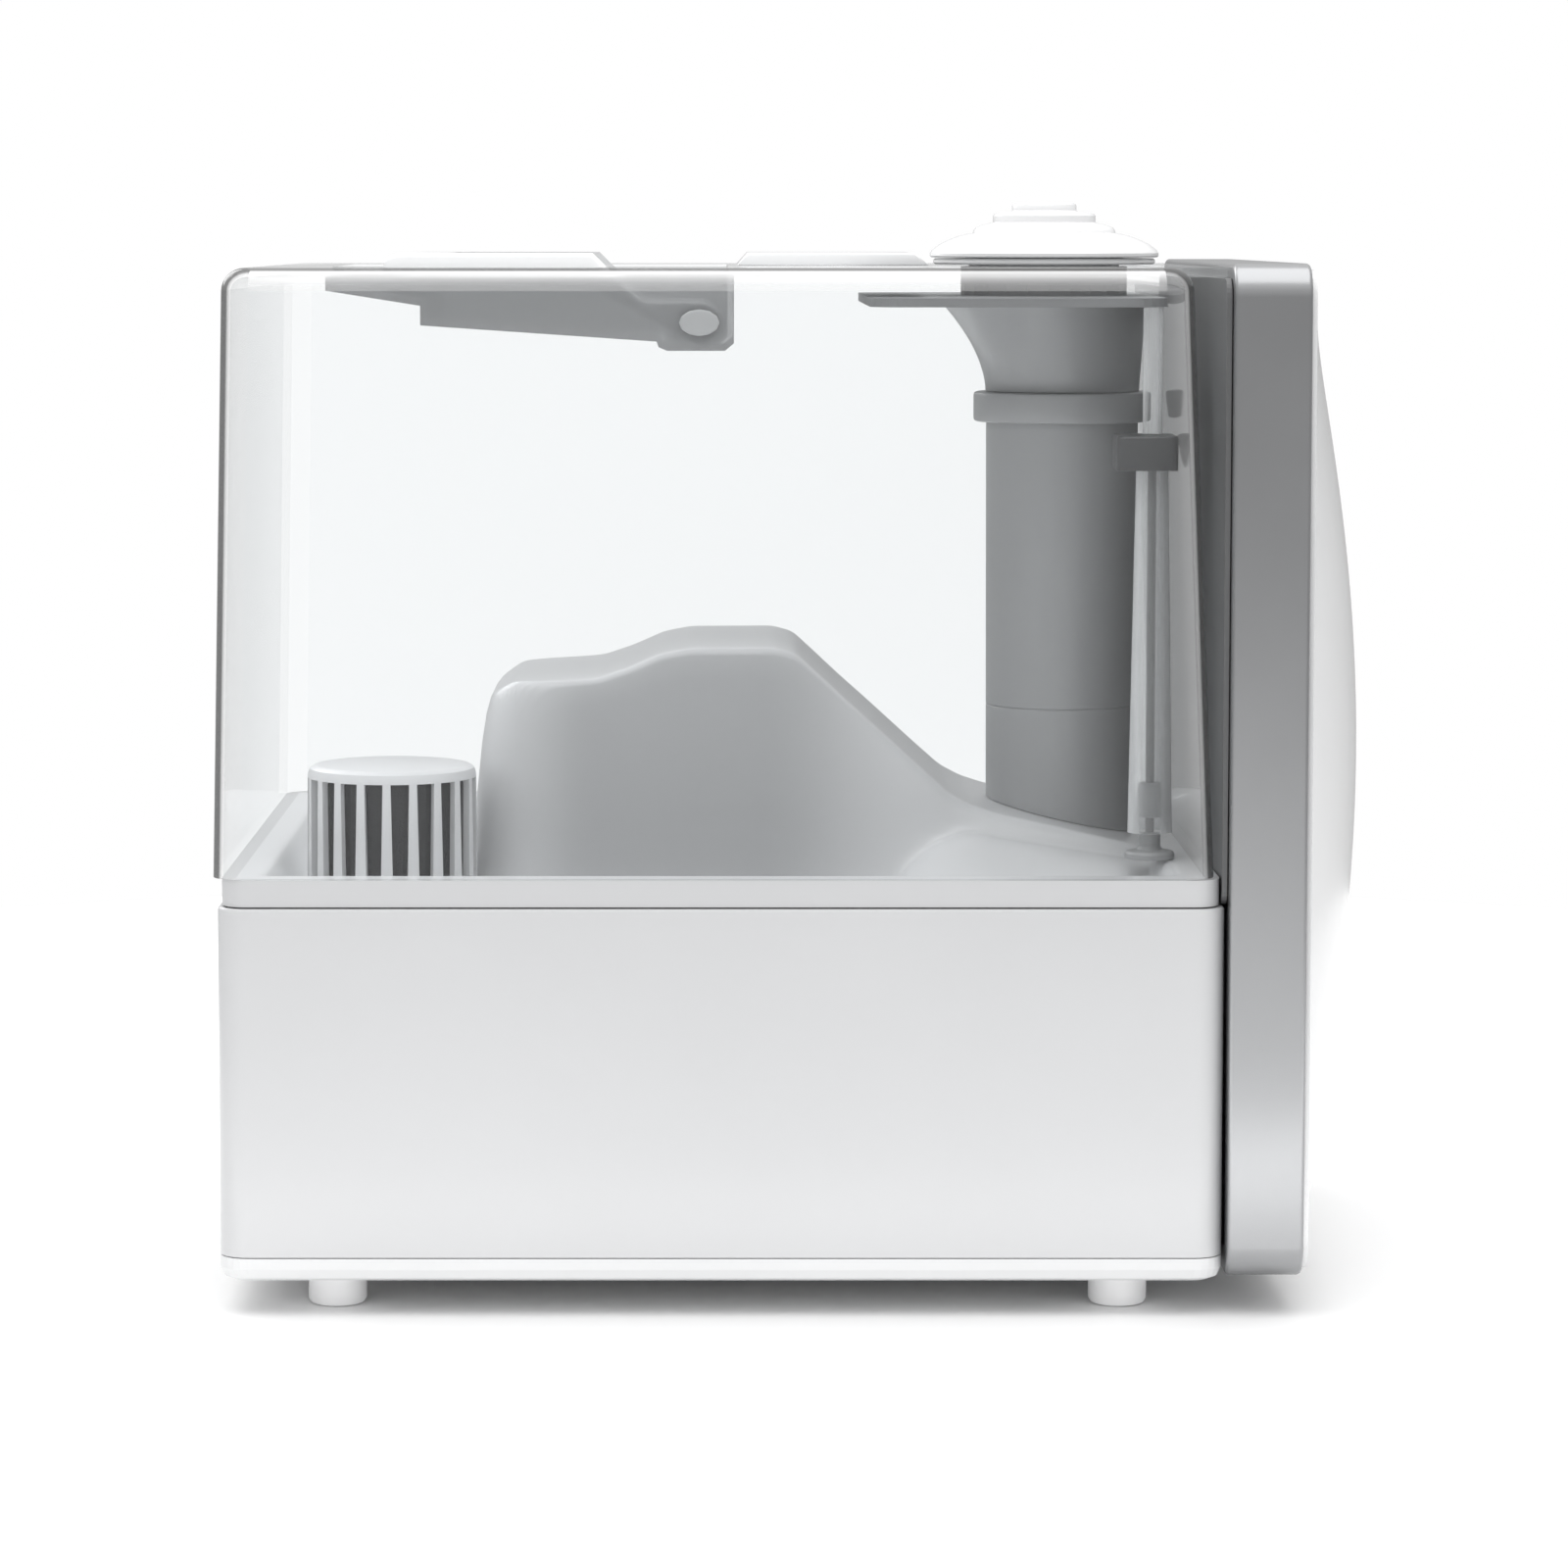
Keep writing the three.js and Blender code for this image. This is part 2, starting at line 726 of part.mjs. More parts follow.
const controlGap = 3;
["button_power", "button_mist", "button_timer"].forEach((name, i) => {
  const { x, y } = buttonSpots[i];
  const button = cylinder(buttonRadius, x - 3.4, x - 0.2, 0, 0, 16)
    .add(cylinder(2.5, controlX + boardThickness + controlGap, x - 3, 0, 0, 8))
    .rotate([0, 90, 0])
    .translate([0, y, middle]);
  add(name, button, { color: "#d9dcde", roughness: 0.3, metalness: 0 });
});
const controlBoard = box(
  controlX,
  controlX + boardThickness,
  -40,
  40,
  middle - 20,
  windowZ + windowHeight / 2,
).add(box(controlX + 1, controlX + 10, -24, 24, windowZ - 9, windowZ + 9));
add("control_board", controlBoard, boardGreen);

// ---------- Clear tank shell, drafted, open at the bottom ----------
const tankBottom = rimTop + gap;
const tankFrontBottom = baseFront - 2.9;
const rearDraft = 3.2;
const frontDraft = 6.4;
const sideDraft = 3.6;
const topRound = 6.6;
const tankMiddleX = (tankRear + tankFrontBottom) / 2;

function tankBlock(inset, bottom, top) {
  const block = prism(
    roundedRect(
      tankRear + inset,
      tankFrontBottom - inset,
      -halfWidth + 0.2 + inset,
      halfWidth - 0.2 - inset,
      cornerRadius - inset * 0.6,
    ),
    bottom - topRound,
    top,
    topRound - inset,
    5,
  ).intersect(box(tankRear - 1, baseFront, -halfWidth, halfWidth, bottom, top));
  return warped(block, (x, y, z) => {
    const t = THREE.MathUtils.clamp((z - tankBottom) / (tankTop - tankBottom), 0, 1);
    const drawn = x < tankMiddleX ? rearDraft * t : -frontDraft * t;
    return [x + drawn, y - Math.sign(y) * sideDraft * t, z];
  });
}

// The wall's place at a height, for what reaches it from inside
const tankRatio = (z) => (z - tankBottom) / (tankTop - tankBottom);
const frontWallInside = (z) => tankFrontBottom - frontDraft * tankRatio(z) - tankWall;

const wellHalf = handleHalfWidth + gap + wellWall;
const openHalf = handleHalfWidth + gap;
const lipLength = 9.4;
const lipHeight = 2.6;
let shell = tankBlock(0, tankBottom, tankTop);
shell = shell.subtract(tankBlock(tankWall, tankBottom - 1, ceiling));
shell = shell.add(
  box(
    tankFrontBottom - frontDraft - topRound,
    tankFrontBottom - frontDraft + lipLength,
    -halfWidth + sideDraft + cornerRadius,
    halfWidth - sideDraft - cornerRadius,
    tankTop - lipHeight,
    tankTop,
  ),
);
shell = shell.subtract(cylinder(socketRadius + gap, ceiling - 1, tankTop + 1, nozzleX, 0, 24));
shell = shell.subtract(
  prism(
    roundedRect(wellRear + wellWall, wellFront - wellWall, -openHalf, openHalf, 3),
    ceiling - 1,
    tankTop + 1,
  ),
);
add("tank_shell", shell, clearPlastic);

// ---------- Tank floor: rim, sunken trough, sloping front and filling neck ----------
const rimInset = 1.2;
const floorRear = baseRear + rimInset;
const floorFront = baseFront - 1.4;
const floorHalf = halfWidth - rimInset;
const troughRear = floorRear + rimWidth;
const troughClearance = 1.4;
const troughFront = basinFront - wall - troughClearance - floorWall;
const troughHalf = floorHalf - rimWidth;
const rimBottom = deckTop + gap;
const neckInner = cartridgeRadius + neckClearance;
const neckOuter = neckInner + 2.5;
const neckBottom = troughFloor - floorWall - neckHeight;
const slopeFront = troughFront - 2;

const troughOutside = roundedRect(
  troughRear - floorWall,
  troughFront + floorWall,
  -troughHalf - floorWall,
  troughHalf + floorWall,
  8,
);
let floor = prism(
  roundedRect(floorRear, floorFront, -floorHalf, floorHalf, cornerRadius - rimInset),
  rimBottom,
  rimTop,
);
const troughUnder = troughFloor - floorWall;
floor = floor.add(
  prism(
    troughOutside,
    troughUnder,
    rimTop,
  ),
);
floor = floor.subtract(
  prism(roundedRect(troughRear, troughFront, -troughHalf, troughHalf, 6), troughFloor, rimTop + 1),
);
// The rim is a channel underneath, outside the trough's own wall
floor = floor.subtract(
  prism(
    roundedRect(floorRear + floorWall, floorFront - floorWall, -floorHalf + floorWall, floorHalf - floorWall, 4),
    rimBottom - 1,
    rimTop - floorWall,
  ).subtract(
    prism(
      troughOutside,
      rimBottom - 2,
      rimTop,
    ),
  ),
);
floor = floor.add(cylinder(neckOuter, neckBottom, troughFloor, capX, capY, 24));
floor = floor.subtract(cylinder(neckInner, neckBottom - 1, troughFloor + 1, capX, capY, 24));
// Opening that the dome stands in
const slopeOverlap = 6;
const frontHalf = domeHalfWidth + 20;
floor = floor.subtract(
  domeSolid(-gap, troughUnder - 1).add(
    box(
      rampFoot[0] - slopeOverlap - gap,
      slopeFront + gap,
      -frontHalf - gap,
      frontHalf + gap,
      troughUnder - 1,
      rimTop + 1,
    ),
  ),
);
add("tank_floor", floor, whitePlastic);

// ---------- Mist dome: two-step hump and the slope that carries the chimney ----------
const slopeFoot = rimTop - 3;
const slope = (lower, x1) =>
  outline([
    [rampFoot[0] - slopeOverlap - lower, troughUnder - 15],
    [rampFoot[0] - slopeOverlap - lower, rampFoot[1] - lower],
    [rampFoot[0], rampFoot[1] - lower],
    [x1, slopeFoot - lower],
    [x1, troughUnder - 15],
  ]);
const slopeZ = (x) =>
  rampFoot[1] + ((slopeFoot - rampFoot[1]) * (x - rampFoot[0])) / (slopeFront - rampFoot[0]);
const chimneyBoreRadius = chimneyRadius - chimneyWall;
let dome = domeSolid(0, troughUnder - 2).add(across(slope(0, slopeFront), -frontHalf, frontHalf, 5));
const domeHollow = domeSolid(floorWall, troughUnder - 3).add(
  across(slope(floorWall, slopeFront - floorWall), -frontHalf + floorWall, frontHalf - floorWall, 4),
);
dome = dome
  .intersect(box(domeRear - 1, slopeFront + 1, -frontHalf - 1, frontHalf + 1, troughUnder, domeTop + 1))
  .subtract(domeHollow)
  .subtract(cylinder(chimneyBoreRadius, troughUnder, domeTop, chimneyX, 0, 24));
add("mist_dome", dome, whitePlastic);

// ---------- Mist chimney, collar, funnel and nozzle socket ----------
const collarTop = tankTop - 36.4;
const collarBottom = collarTop - collarHeight;
const chimneyTop = collarBottom + collarHeight / 2;
let chimney = pipe(chimneyRadius, chimneyBoreRadius, slopeFoot - 5, chimneyTop, chimneyX, 0, 24);
chimney = chimney.subtract(
  across(
    outline([
      [rampFoot[0] - 10, rampFoot[1] + gap - (slopeZ(rampFoot[0] + 10) - rampFoot[1])],
      [slopeFront + 10, slopeZ(slopeFront + 10) + gap],
      [slopeFront + 10, slopeFoot - 20],
      [rampFoot[0] - 10, slopeFoot - 20],
    ]),
    -40,
    40,
  ),
);
add("mist_chimney", chimney, greyPlastic);
add(
  "chimney_collar",
  turned(
    [
      [chimneyRadius + gap, collarBottom],
      [collarRadius, collarBottom],
      [collarRadius, collarTop],
      [chimneyBoreRadius, collarTop],
      [chimneyBoreRadius, chimneyTop + gap],
      [chimneyRadius + gap, chimneyTop + gap],
      [chimneyRadius + gap, collarBottom],
    ],
    chimneyX,
    0,
    24,
  ),
  greyPlastic,
);
const plateZ = ceiling - socketGap - socketPlate;
const funnelTop = plateZ - gap;
const funnelBottom = collarTop + gap;
const funnelRadius = 29;
// The funnel leans towards the rear as it widens
const leaning = (solid) =>
  warped(solid, (x, y, z) => {
    const t = (z - funnelBottom) / (funnelTop - funnelBottom);
    return [x + (nozzleX - chimneyX) * t * t, y, z];
  });
const funnelProfile = (radius, steps) =>
  Array.from({ length: steps + 1 }, (_, i) => {
    const t = i / steps;
    return [radius + (funnelRadius - chimneyRadius) * t ** 1.6, funnelBottom + (funnelTop - funnelBottom) * t];
  });
const funnelOuter = funnelProfile(chimneyRadius, 4);
const funnelInner = funnelProfile(chimneyBoreRadius, 4).reverse();
add(
  "chimney_funnel",
  leaning(turned([...funnelOuter, ...funnelInner, funnelOuter[0]], chimneyX, 0, 24)),
  greyPlastic,
);
const socketBore = socketRadius - 2;
const socketTop = tankTop - gap;
add(
  "nozzle_socket",
  prism(roundedRect(nozzleX - 52, frontWallInside(plateZ) - gap - 1, -68, 68, 10), plateZ, plateZ + socketPlate)
    .add(cylinder(socketRadius, plateZ, socketTop, nozzleX, 0, 24))
    .subtract(cylinder(socketBore, plateZ - 1, socketTop + 1, nozzleX, 0, 24)),
  greyPlastic,
);

// ---------- Nozzle: plug ring that lifts out, and a stepped dome that turns on it ----------
const plugRadius = socketBore - gap;
const plugBore = plugRadius - 2;
const ringTop = tankTop + 3;
add(
  "nozzle_ring",
  turned(
    [
      [plugBore, tankTop - 10],
      [plugRadius, tankTop - 10],
      [plugRadius, tankTop + gap],
      [nozzleRadius - 1, tankTop + gap],
      [nozzleRadius - 1, ringTop - 1],
      [plugBore + 3, ringTop - 1],
      [plugBore + 3, ringTop + 1.5],
      [plugBore, ringTop + 1.5],
      [plugBore, tankTop - 10],
    ],
    nozzleX,
    0,
    28,
  ),
  whitePlastic,
);
const domeBase = ringTop - 1 + gap;
const nozzleTop = tankTop + 17.8;
const outletRadius = 9.3;
const tierRadius = 14.8;
const skin = 2.2;
const nozzleDome = turned(
  [
    [nozzleRadius, domeBase],
    [nozzleRadius, domeBase + 1],
    [31, domeBase + 3.2],
    [26, domeBase + 5.6],
    [20.5, domeBase + 7],
    [20, domeBase + 8.2],
    [16.5, domeBase + 9.4],
    [tierRadius, domeBase + 10],
    [tierRadius, domeBase + 12],
    [tierRadius - 1, domeBase + 12.8],
    [outletRadius, domeBase + 13.4],
    [outletRadius, nozzleTop - 0.6],
    [outletRadius - 0.6, nozzleTop],
    [outletRadius - 3, nozzleTop],
    [outletRadius - 3, domeBase + 11],
    [tierRadius - skin, domeBase + 9.5],
    [20 - skin, domeBase + 5],
    [30 - skin, domeBase + 1.6],
    [nozzleRadius - skin, domeBase],
    [nozzleRadius, domeBase],
  ],
  nozzleX,
  0,
  28,
);
add("nozzle_dome", nozzleDome, whitePlastic);

// ---------- Level gauge in the tank ----------
const gaugeBottom = rimTop + gap + gaugeFootHeight;
add(
  "gauge_foot",
  cylinder(7, rimTop + gap, rimTop + 3, gaugeX, gaugeY, 20).add(
    cylinder(3, rimTop + 2, gaugeBottom, gaugeX, gaugeY, 20),
  ),
  greyPlastic,
);
const tubeBottom = gaugeBottom + gap;
const tubeTop = clampBottom - gap;
add(
  "gauge_tube",
  turned(
    [
      [gaugeBaseRadius - gaugeWall, tubeBottom],
      [gaugeBaseRadius, tubeBottom],
      [gaugeRadius, tubeTop],
      [gaugeRadius - gaugeWall, tubeTop],
      [gaugeBaseRadius - gaugeWall, tubeBottom],
    ],
    gaugeX,
    gaugeY,
    20,
  ),
  clearPlastic,
);
add("gauge_rod", cylinder(gaugeRodRadius, tubeBottom, tubeTop, gaugeX, gaugeY, 12), darkPlastic);
const gaugeFloatBottom = tubeBottom + 4.2;
add(
  "gauge_float",
  pipe(
    gaugeRadius - gaugeWall - gap,
    gaugeRodRadius + gap,
    gaugeFloatBottom,
    gaugeFloatBottom + gaugeFloatHeight,
    gaugeX,
    gaugeY,
    20,
  ),
  greyPlastic,
);
const clampTop = clampBottom + clampHeight;
add(
  "gauge_clamp",
  box(gaugeX - 10.5, frontWallInside(clampTop) - gap, gaugeY - 10, gaugeY + 10, clampBottom, clampTop),
  darkPlastic,
);
add(
  "gauge_stem",
  cylinder(2.75, clampTop + gap, plateZ - gap, gaugeX, gaugeY, 16),
  clearPlastic,
);

// ---------- Handle well, a translucent tub under the tank's top ----------
function wellProfile(inset) {
  return outline([
    [wellRear + inset, tankTop + (inset > 0 ? 1 : -tankWall - gap)],
    [wellRear + inset, tankTop - 6.8 + inset],
    [wellRear + 26.5 + inset, tankTop - 11 + inset],
    [wellRear + 26.5 + inset, tankTop - 16.5 + inset],
    [pivotX - 12 + inset, tankTop - 21 + inset],
    [pivotX - 11.4 + inset, tankTop - 22.6 + inset],
    [pivotX - 9 + inset, tankTop - 23.6 + inset],
    [wellFront - 2.5 - inset, tankTop - 23.6 + inset],
    [wellFront - inset, tankTop - 21.5 + inset],
    [wellFront - inset, tankTop + (inset > 0 ? 1 : -tankWall - gap)],
  ]);
}
let well = across(wellProfile(0), -wellHalf, wellHalf).subtract(
  across(wellProfile(wellWall), -openHalf, openHalf),
);
const pinHole = (radius) =>
  cylinder(radius, -wellHalf - 1, wellHalf + 1, 0, 0, 20)
    .rotate([90, 0, 0])
    .translate([pivotX, 0, pivotZ]);
well = well.subtract(pinHole(pinRadius + pinClearance));
add("handle_well", well, { color: "#9a9d9f", roughness: 0.3, metalness: 0, transparent: true, opacity: 0.7 });

// ---------- Handle: two arms and a grip, folded towards the rear ----------
const armInner = handleHalfWidth - armWidth;
const crown = tankTop + handleCrown;
const hub = 5.8;
const armProfile = () => {
  const shape = new THREE.Shape();
  shape.absarc(pivotX, pivotZ, hub, (Math.PI * 4) / 3, Math.PI * 2.5);
  shape.lineTo(pivotX - 16, pivotZ + hub);
  shape.lineTo(pivotX - 20.5, pivotZ + 10);
  shape.lineTo(pivotX - 30, crown);
  shape.lineTo(gripRear + 6, crown);
  shape.quadraticCurveTo(gripRear, crown, gripRear, crown - 4);
  shape.lineTo(gripRear, tankTop - 2);
  shape.lineTo(gripRear + 6, tankTop - 4);
  shape.lineTo(pivotX - 30, tankTop - 6);
  return shape;
};
let handle = across(armProfile(), -handleHalfWidth, handleHalfWidth, 1.2, 5);
handle = handle.subtract(
  prism(roundedRect(gripRear + gripDepth, pivotX + 20, -armInner, armInner, 6), pivotZ - 20, crown + 5),
);
handle = handle.subtract(pinHole(pinRadius + pinClearance));
add("handle", handle, whitePlastic);

[["left", 1], ["right", -1]].forEach(([name, side]) => {
  const ends = (a, b) => (side > 0 ? [a, b] : [-b, -a]);
  const egg = new THREE.Shape();
  egg.absellipse(pivotX, pivotZ, 5.7, 3.75, 0, Math.PI * 2);
  const shank = across(
    new THREE.Shape().absarc(pivotX, pivotZ, pinRadius, 0, Math.PI * 2),
    ...ends(armInner + 1, wellHalf + 1),
    0,
    8,
  );
  const head = across(egg, ...ends(wellHalf + gap, wellHalf + 2.5), 0.5, 6);
  add(`handle_pin_${name}`, shank.add(head), greyPlastic);
});

// ---------- Top plate: fixed cover in front of the handle ----------
const plateRear = wellFront + 1;
const plateFront = nozzleX - nozzleRadius - 2;
add(
  "top_plate",
  across(
    (() => {
      const shape = new THREE.Shape();
      shape.moveTo(plateRear, tankTop + gap);
      shape.lineTo(plateFront, tankTop + gap);
      shape.lineTo(plateFront - 4, crown);
      shape.lineTo(plateRear + 3, crown);
      return shape;
    })(),
    -handleHalfWidth,
    handleHalfWidth,
    0.6,
  ),
  whitePlastic,
);

// ---------- Filling cap with seal, cartridge and valve ----------
const capTop = troughUnder - gap;
const capBottom = neckBottom - 5.5;
const capInner = neckOuter + gap + 0.4;
const valveBore = 6;
const valveStem = 2.2;
const gripRibs = 10;
let cap = turned(
  [
    [valveBore, capBottom],
    [capRadius - 1.5, capBottom],
    [capRadius, capBottom + 1.5],
    [capRadius, capTop - 1],
    [capInner, capTop - 1],
    [capInner, capBottom + 2.5],
    [valveBore, capBottom + 2.5],
    [valveBore, capBottom],
  ],
  capX,
  capY,
  24,
);
for (let i = 0; i < gripRibs; i++) {
  const notch = cylinder(1.1, capBottom - 1, capTop + 1, capRadius, 0, 6)
    .rotate([0, 0, (360 / gripRibs) * i])
    .translate([capX, capY, 0]);
  cap = cap.subtract(notch);
}
// Spider that guides the valve stem
const spiderTop = capBottom + 2.5;
for (const angle of [0, 60, 120]) {
  cap = cap.add(
    box(-valveBore - 0.5, valveBore + 0.5, -0.8, 0.8, capBottom + 0.5, spiderTop)
      .rotate([0, 0, angle])
      .translate([capX, capY, 0]),
  );
}
cap = cap.add(cylinder(valveStem + gap + 1, capBottom + 0.5, spiderTop, capX, capY, 16));
cap = cap.subtract(cylinder(valveStem + gap, capBottom - 1, spiderTop + 1, capX, capY, 16));
add("tank_cap", cap, whitePlastic);
add(
  "cap_seal",
  pipe(neckOuter - 0.2, neckInner - 2, capBottom + 2.5 + gap, neckBottom - gap, capX, capY, 24),
  rubber,
);

const cageBottom = capBottom + 2.5 + gap;
const cageWall = 2.2;
const cageRound = 2;
const slotWidth = 4.4;
const cageInner = cartridgeRadius - cageWall;
const cageBase = neckInner - 2 - gap;
let cage = turned(
  [
    [cageBase - 2, cageBottom],
    [cageBase, cageBottom],
    [cageBase, neckBottom],
    [cartridgeRadius, neckBottom + 1],
    [cartridgeRadius - 0.4, cartridgeTop - cageRound],
    [cartridgeRadius - cageRound, cartridgeTop],
    [0, cartridgeTop],
    [0, cartridgeTop - cageWall],
    [cageInner - 0.4, cartridgeTop - cageWall],
    [cageInner, neckBottom + 3],
    [cageBase - 2, neckBottom + 1],
    [cageBase - 2, cageBottom],
  ],
  capX,
  capY,
  20,
);
for (let i = 0; i < slotCount / 2; i++) {
  cage = cage.subtract(
    box(
      -cartridgeRadius - 1,
      cartridgeRadius + 1,
      -slotWidth / 2,
      slotWidth / 2,
      troughFloor + 2,
      cartridgeTop - 4,
    )
      .rotate([0, 0, (360 / slotCount) * i])
      .translate([capX, capY, 0]),
  );
}
add("cartridge_cage", cage, whitePlastic);
const coreRadius = cageInner - 1;
const coreBottom = neckBottom + 6;
const coreBore = 6;
add(
  "cartridge_core",
  pipe(coreRadius, coreBore, coreBottom, cartridgeTop - cageWall - gap, capX, capY, 24),
  { color: "#202122", roughness: 0.9, metalness: 0 },
);

// Valve: held shut by its spring, opened by the riser in the basin
const stemBottom = basinFloor + riserHeight + gap;
const washerTop = cageBottom + 2.4;
const stemTop = coreBottom + 12;
add(
  "valve_stem",
  cylinder(valveStem, stemBottom, stemTop, capX, capY, 16).add(
    cylinder(valveBore + 1.8, washerTop + gap, washerTop + 2.2, capX, capY, 20),
  ),
  greyPlastic,
);
add(
  "valve_washer",
  pipe(valveBore + 2.6, valveStem + gap, cageBottom + 0.2, washerTop, capX, capY, 20),
  rubber,
);

export default object;
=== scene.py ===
import json
import math
import bmesh
import bpy
from mathutils import Matrix, Vector


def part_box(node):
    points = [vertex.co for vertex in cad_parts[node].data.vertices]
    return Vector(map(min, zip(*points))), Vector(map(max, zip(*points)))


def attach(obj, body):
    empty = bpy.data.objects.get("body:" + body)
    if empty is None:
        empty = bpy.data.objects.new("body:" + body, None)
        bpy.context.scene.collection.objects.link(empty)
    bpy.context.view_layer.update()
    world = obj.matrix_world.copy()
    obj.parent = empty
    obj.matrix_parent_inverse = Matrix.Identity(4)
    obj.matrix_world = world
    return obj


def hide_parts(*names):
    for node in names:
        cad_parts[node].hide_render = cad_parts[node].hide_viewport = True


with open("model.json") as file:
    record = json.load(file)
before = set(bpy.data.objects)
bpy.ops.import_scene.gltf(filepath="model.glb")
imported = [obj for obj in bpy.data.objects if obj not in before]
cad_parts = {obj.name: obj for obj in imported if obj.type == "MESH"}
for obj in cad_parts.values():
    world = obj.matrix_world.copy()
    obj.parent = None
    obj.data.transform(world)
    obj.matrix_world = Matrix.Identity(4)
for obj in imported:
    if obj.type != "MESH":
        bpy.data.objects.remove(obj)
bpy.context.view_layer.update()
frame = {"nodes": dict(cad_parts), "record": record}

scene = bpy.context.scene

# Viewpoint: level with the tank's top and square to its right side, from about one and a third metres.
# The lens is long, and most of the framing comes from a small downward tilt.
near_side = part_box("base_housing")[0].y
eye = Vector((-0.02172, near_side - 1.3206, 0.29486))
tilt = math.radians(5.0)
lens = bpy.data.cameras.new("studio_camera")
lens.sensor_width = 36
lens.lens = 113.14
lens.shift_x = 0.0411
lens.shift_y = -0.0784
lens.clip_end = 20
camera = bpy.data.objects.new("studio_camera", lens)
camera.location = eye
camera.rotation_euler = (math.pi / 2 - tilt, 0, 0)
scene.collection.objects.link(camera)
scene.camera = camera
scene.view_settings.view_transform = "Standard"

# Studio: a round pale table top, a bright ceiling and a dim band at eye height for the gloss to mirror.
# The background itself is plain white. A low card and a strip on the table lift the foot of the casing.
table_radius = 0.78
work = bmesh.new()
bmesh.ops.create_circle(work, cap_ends=True, radius=table_radius, segments=96)
floor_mesh = bpy.data.meshes.new("studio_floor")
work.to_mesh(floor_mesh)
work.free()
studio_floor = bpy.data.objects.new("studio_floor", floor_mesh)
scene.collection.objects.link(studio_floor)
paper = bpy.data.materials.new("table_paper")
paper.use_nodes = True
paper_shader = paper.node_tree.nodes["Principled BSDF"]
paper_shader.inputs["Base Color"].default_value = (0.93, 0.93, 0.93, 1)
paper_shader.inputs["Roughness"].default_value = 0.6
paper_shader.inputs["Specular IOR Level"].default_value = 0.2
floor_mesh.materials.append(paper)

world = bpy.data.worlds.new("studio")
scene.world = world
world.use_nodes = True
sky = world.node_tree
sky.nodes.clear()
direction = sky.nodes.new("ShaderNodeTexCoord")
height = sky.nodes.new("ShaderNodeSeparateXYZ")
band = sky.nodes.new("ShaderNodeMapRange")
band.inputs["From Min"].default_value = -1
shade = sky.nodes.new("ShaderNodeValToRGB")
tones = [(0.0, 0.8), (0.44, 0.42), (0.52, 0.34), (0.62, 0.62), (0.8, 1.0), (1.0, 1.1)]
while len(shade.color_ramp.elements) < len(tones):
    shade.color_ramp.elements.new(0.5)
for stop, (place, tone) in zip(shade.color_ramp.elements, tones):
    stop.position = place
    stop.color = (tone, tone, tone, 1)
seen = sky.nodes.new("ShaderNodeLightPath")
choice = sky.nodes.new("ShaderNodeMix")
choice.data_type = "RGBA"
choice.inputs[7].default_value = (1, 1, 1, 1)
backdrop = sky.nodes.new("ShaderNodeBackground")
world_out = sky.nodes.new("ShaderNodeOutputWorld")
sky.links.new(direction.outputs["Generated"], height.inputs[0])
sky.links.new(height.outputs["Z"], band.inputs["Value"])
sky.links.new(band.outputs["Result"], shade.inputs["Fac"])
sky.links.new(seen.outputs["Is Camera Ray"], choice.inputs[0])
sky.links.new(shade.outputs["Color"], choice.inputs[6])
sky.links.new(choice.outputs[2], backdrop.inputs["Color"])
sky.links.new(backdrop.outputs["Background"], world_out.inputs["Surface"])


def softbox(name, place, aim, size, power):
    lamp = bpy.data.lights.new(name, "AREA")
    lamp.shape = "RECTANGLE"
    lamp.size, lamp.size_y = size
    lamp.energy = power
    holder = bpy.data.objects.new(name, lamp)
    holder.location = place
    holder.rotation_euler = (Vector(aim) - Vector(place)).to_track_quat("-Z", "Y").to_euler()
    holder.visible_camera = False
    scene.collection.objects.link(holder)


softbox("ceiling_light", (0, -0.2, 1.6), (0, 0, 0), (2.0, 1.8), 16)
softbox("rear_light", (-0.9, 1.1, 0.9), (0, 0, 0.15), (0.8, 0.8), 5)
softbox("front_card", (0, -0.62, 0.01), (0, -0.1, 0.06), (1.2, 0.3), 0.4)
softbox("table_strip", (0, -0.215, 0.004), (0, -0.1, 0.03), (0.8, 0.04), 0.16)

# Base housing: one deep white box moulding, satin outside, with a bright bevelled shoulder
# where the tank lands. The power socket's hole is in its rear wall. Like all the casing it is
# moulded plastic: an even colour with a faint flow pattern, a fine grain and slightly uneven gloss.
made = {}


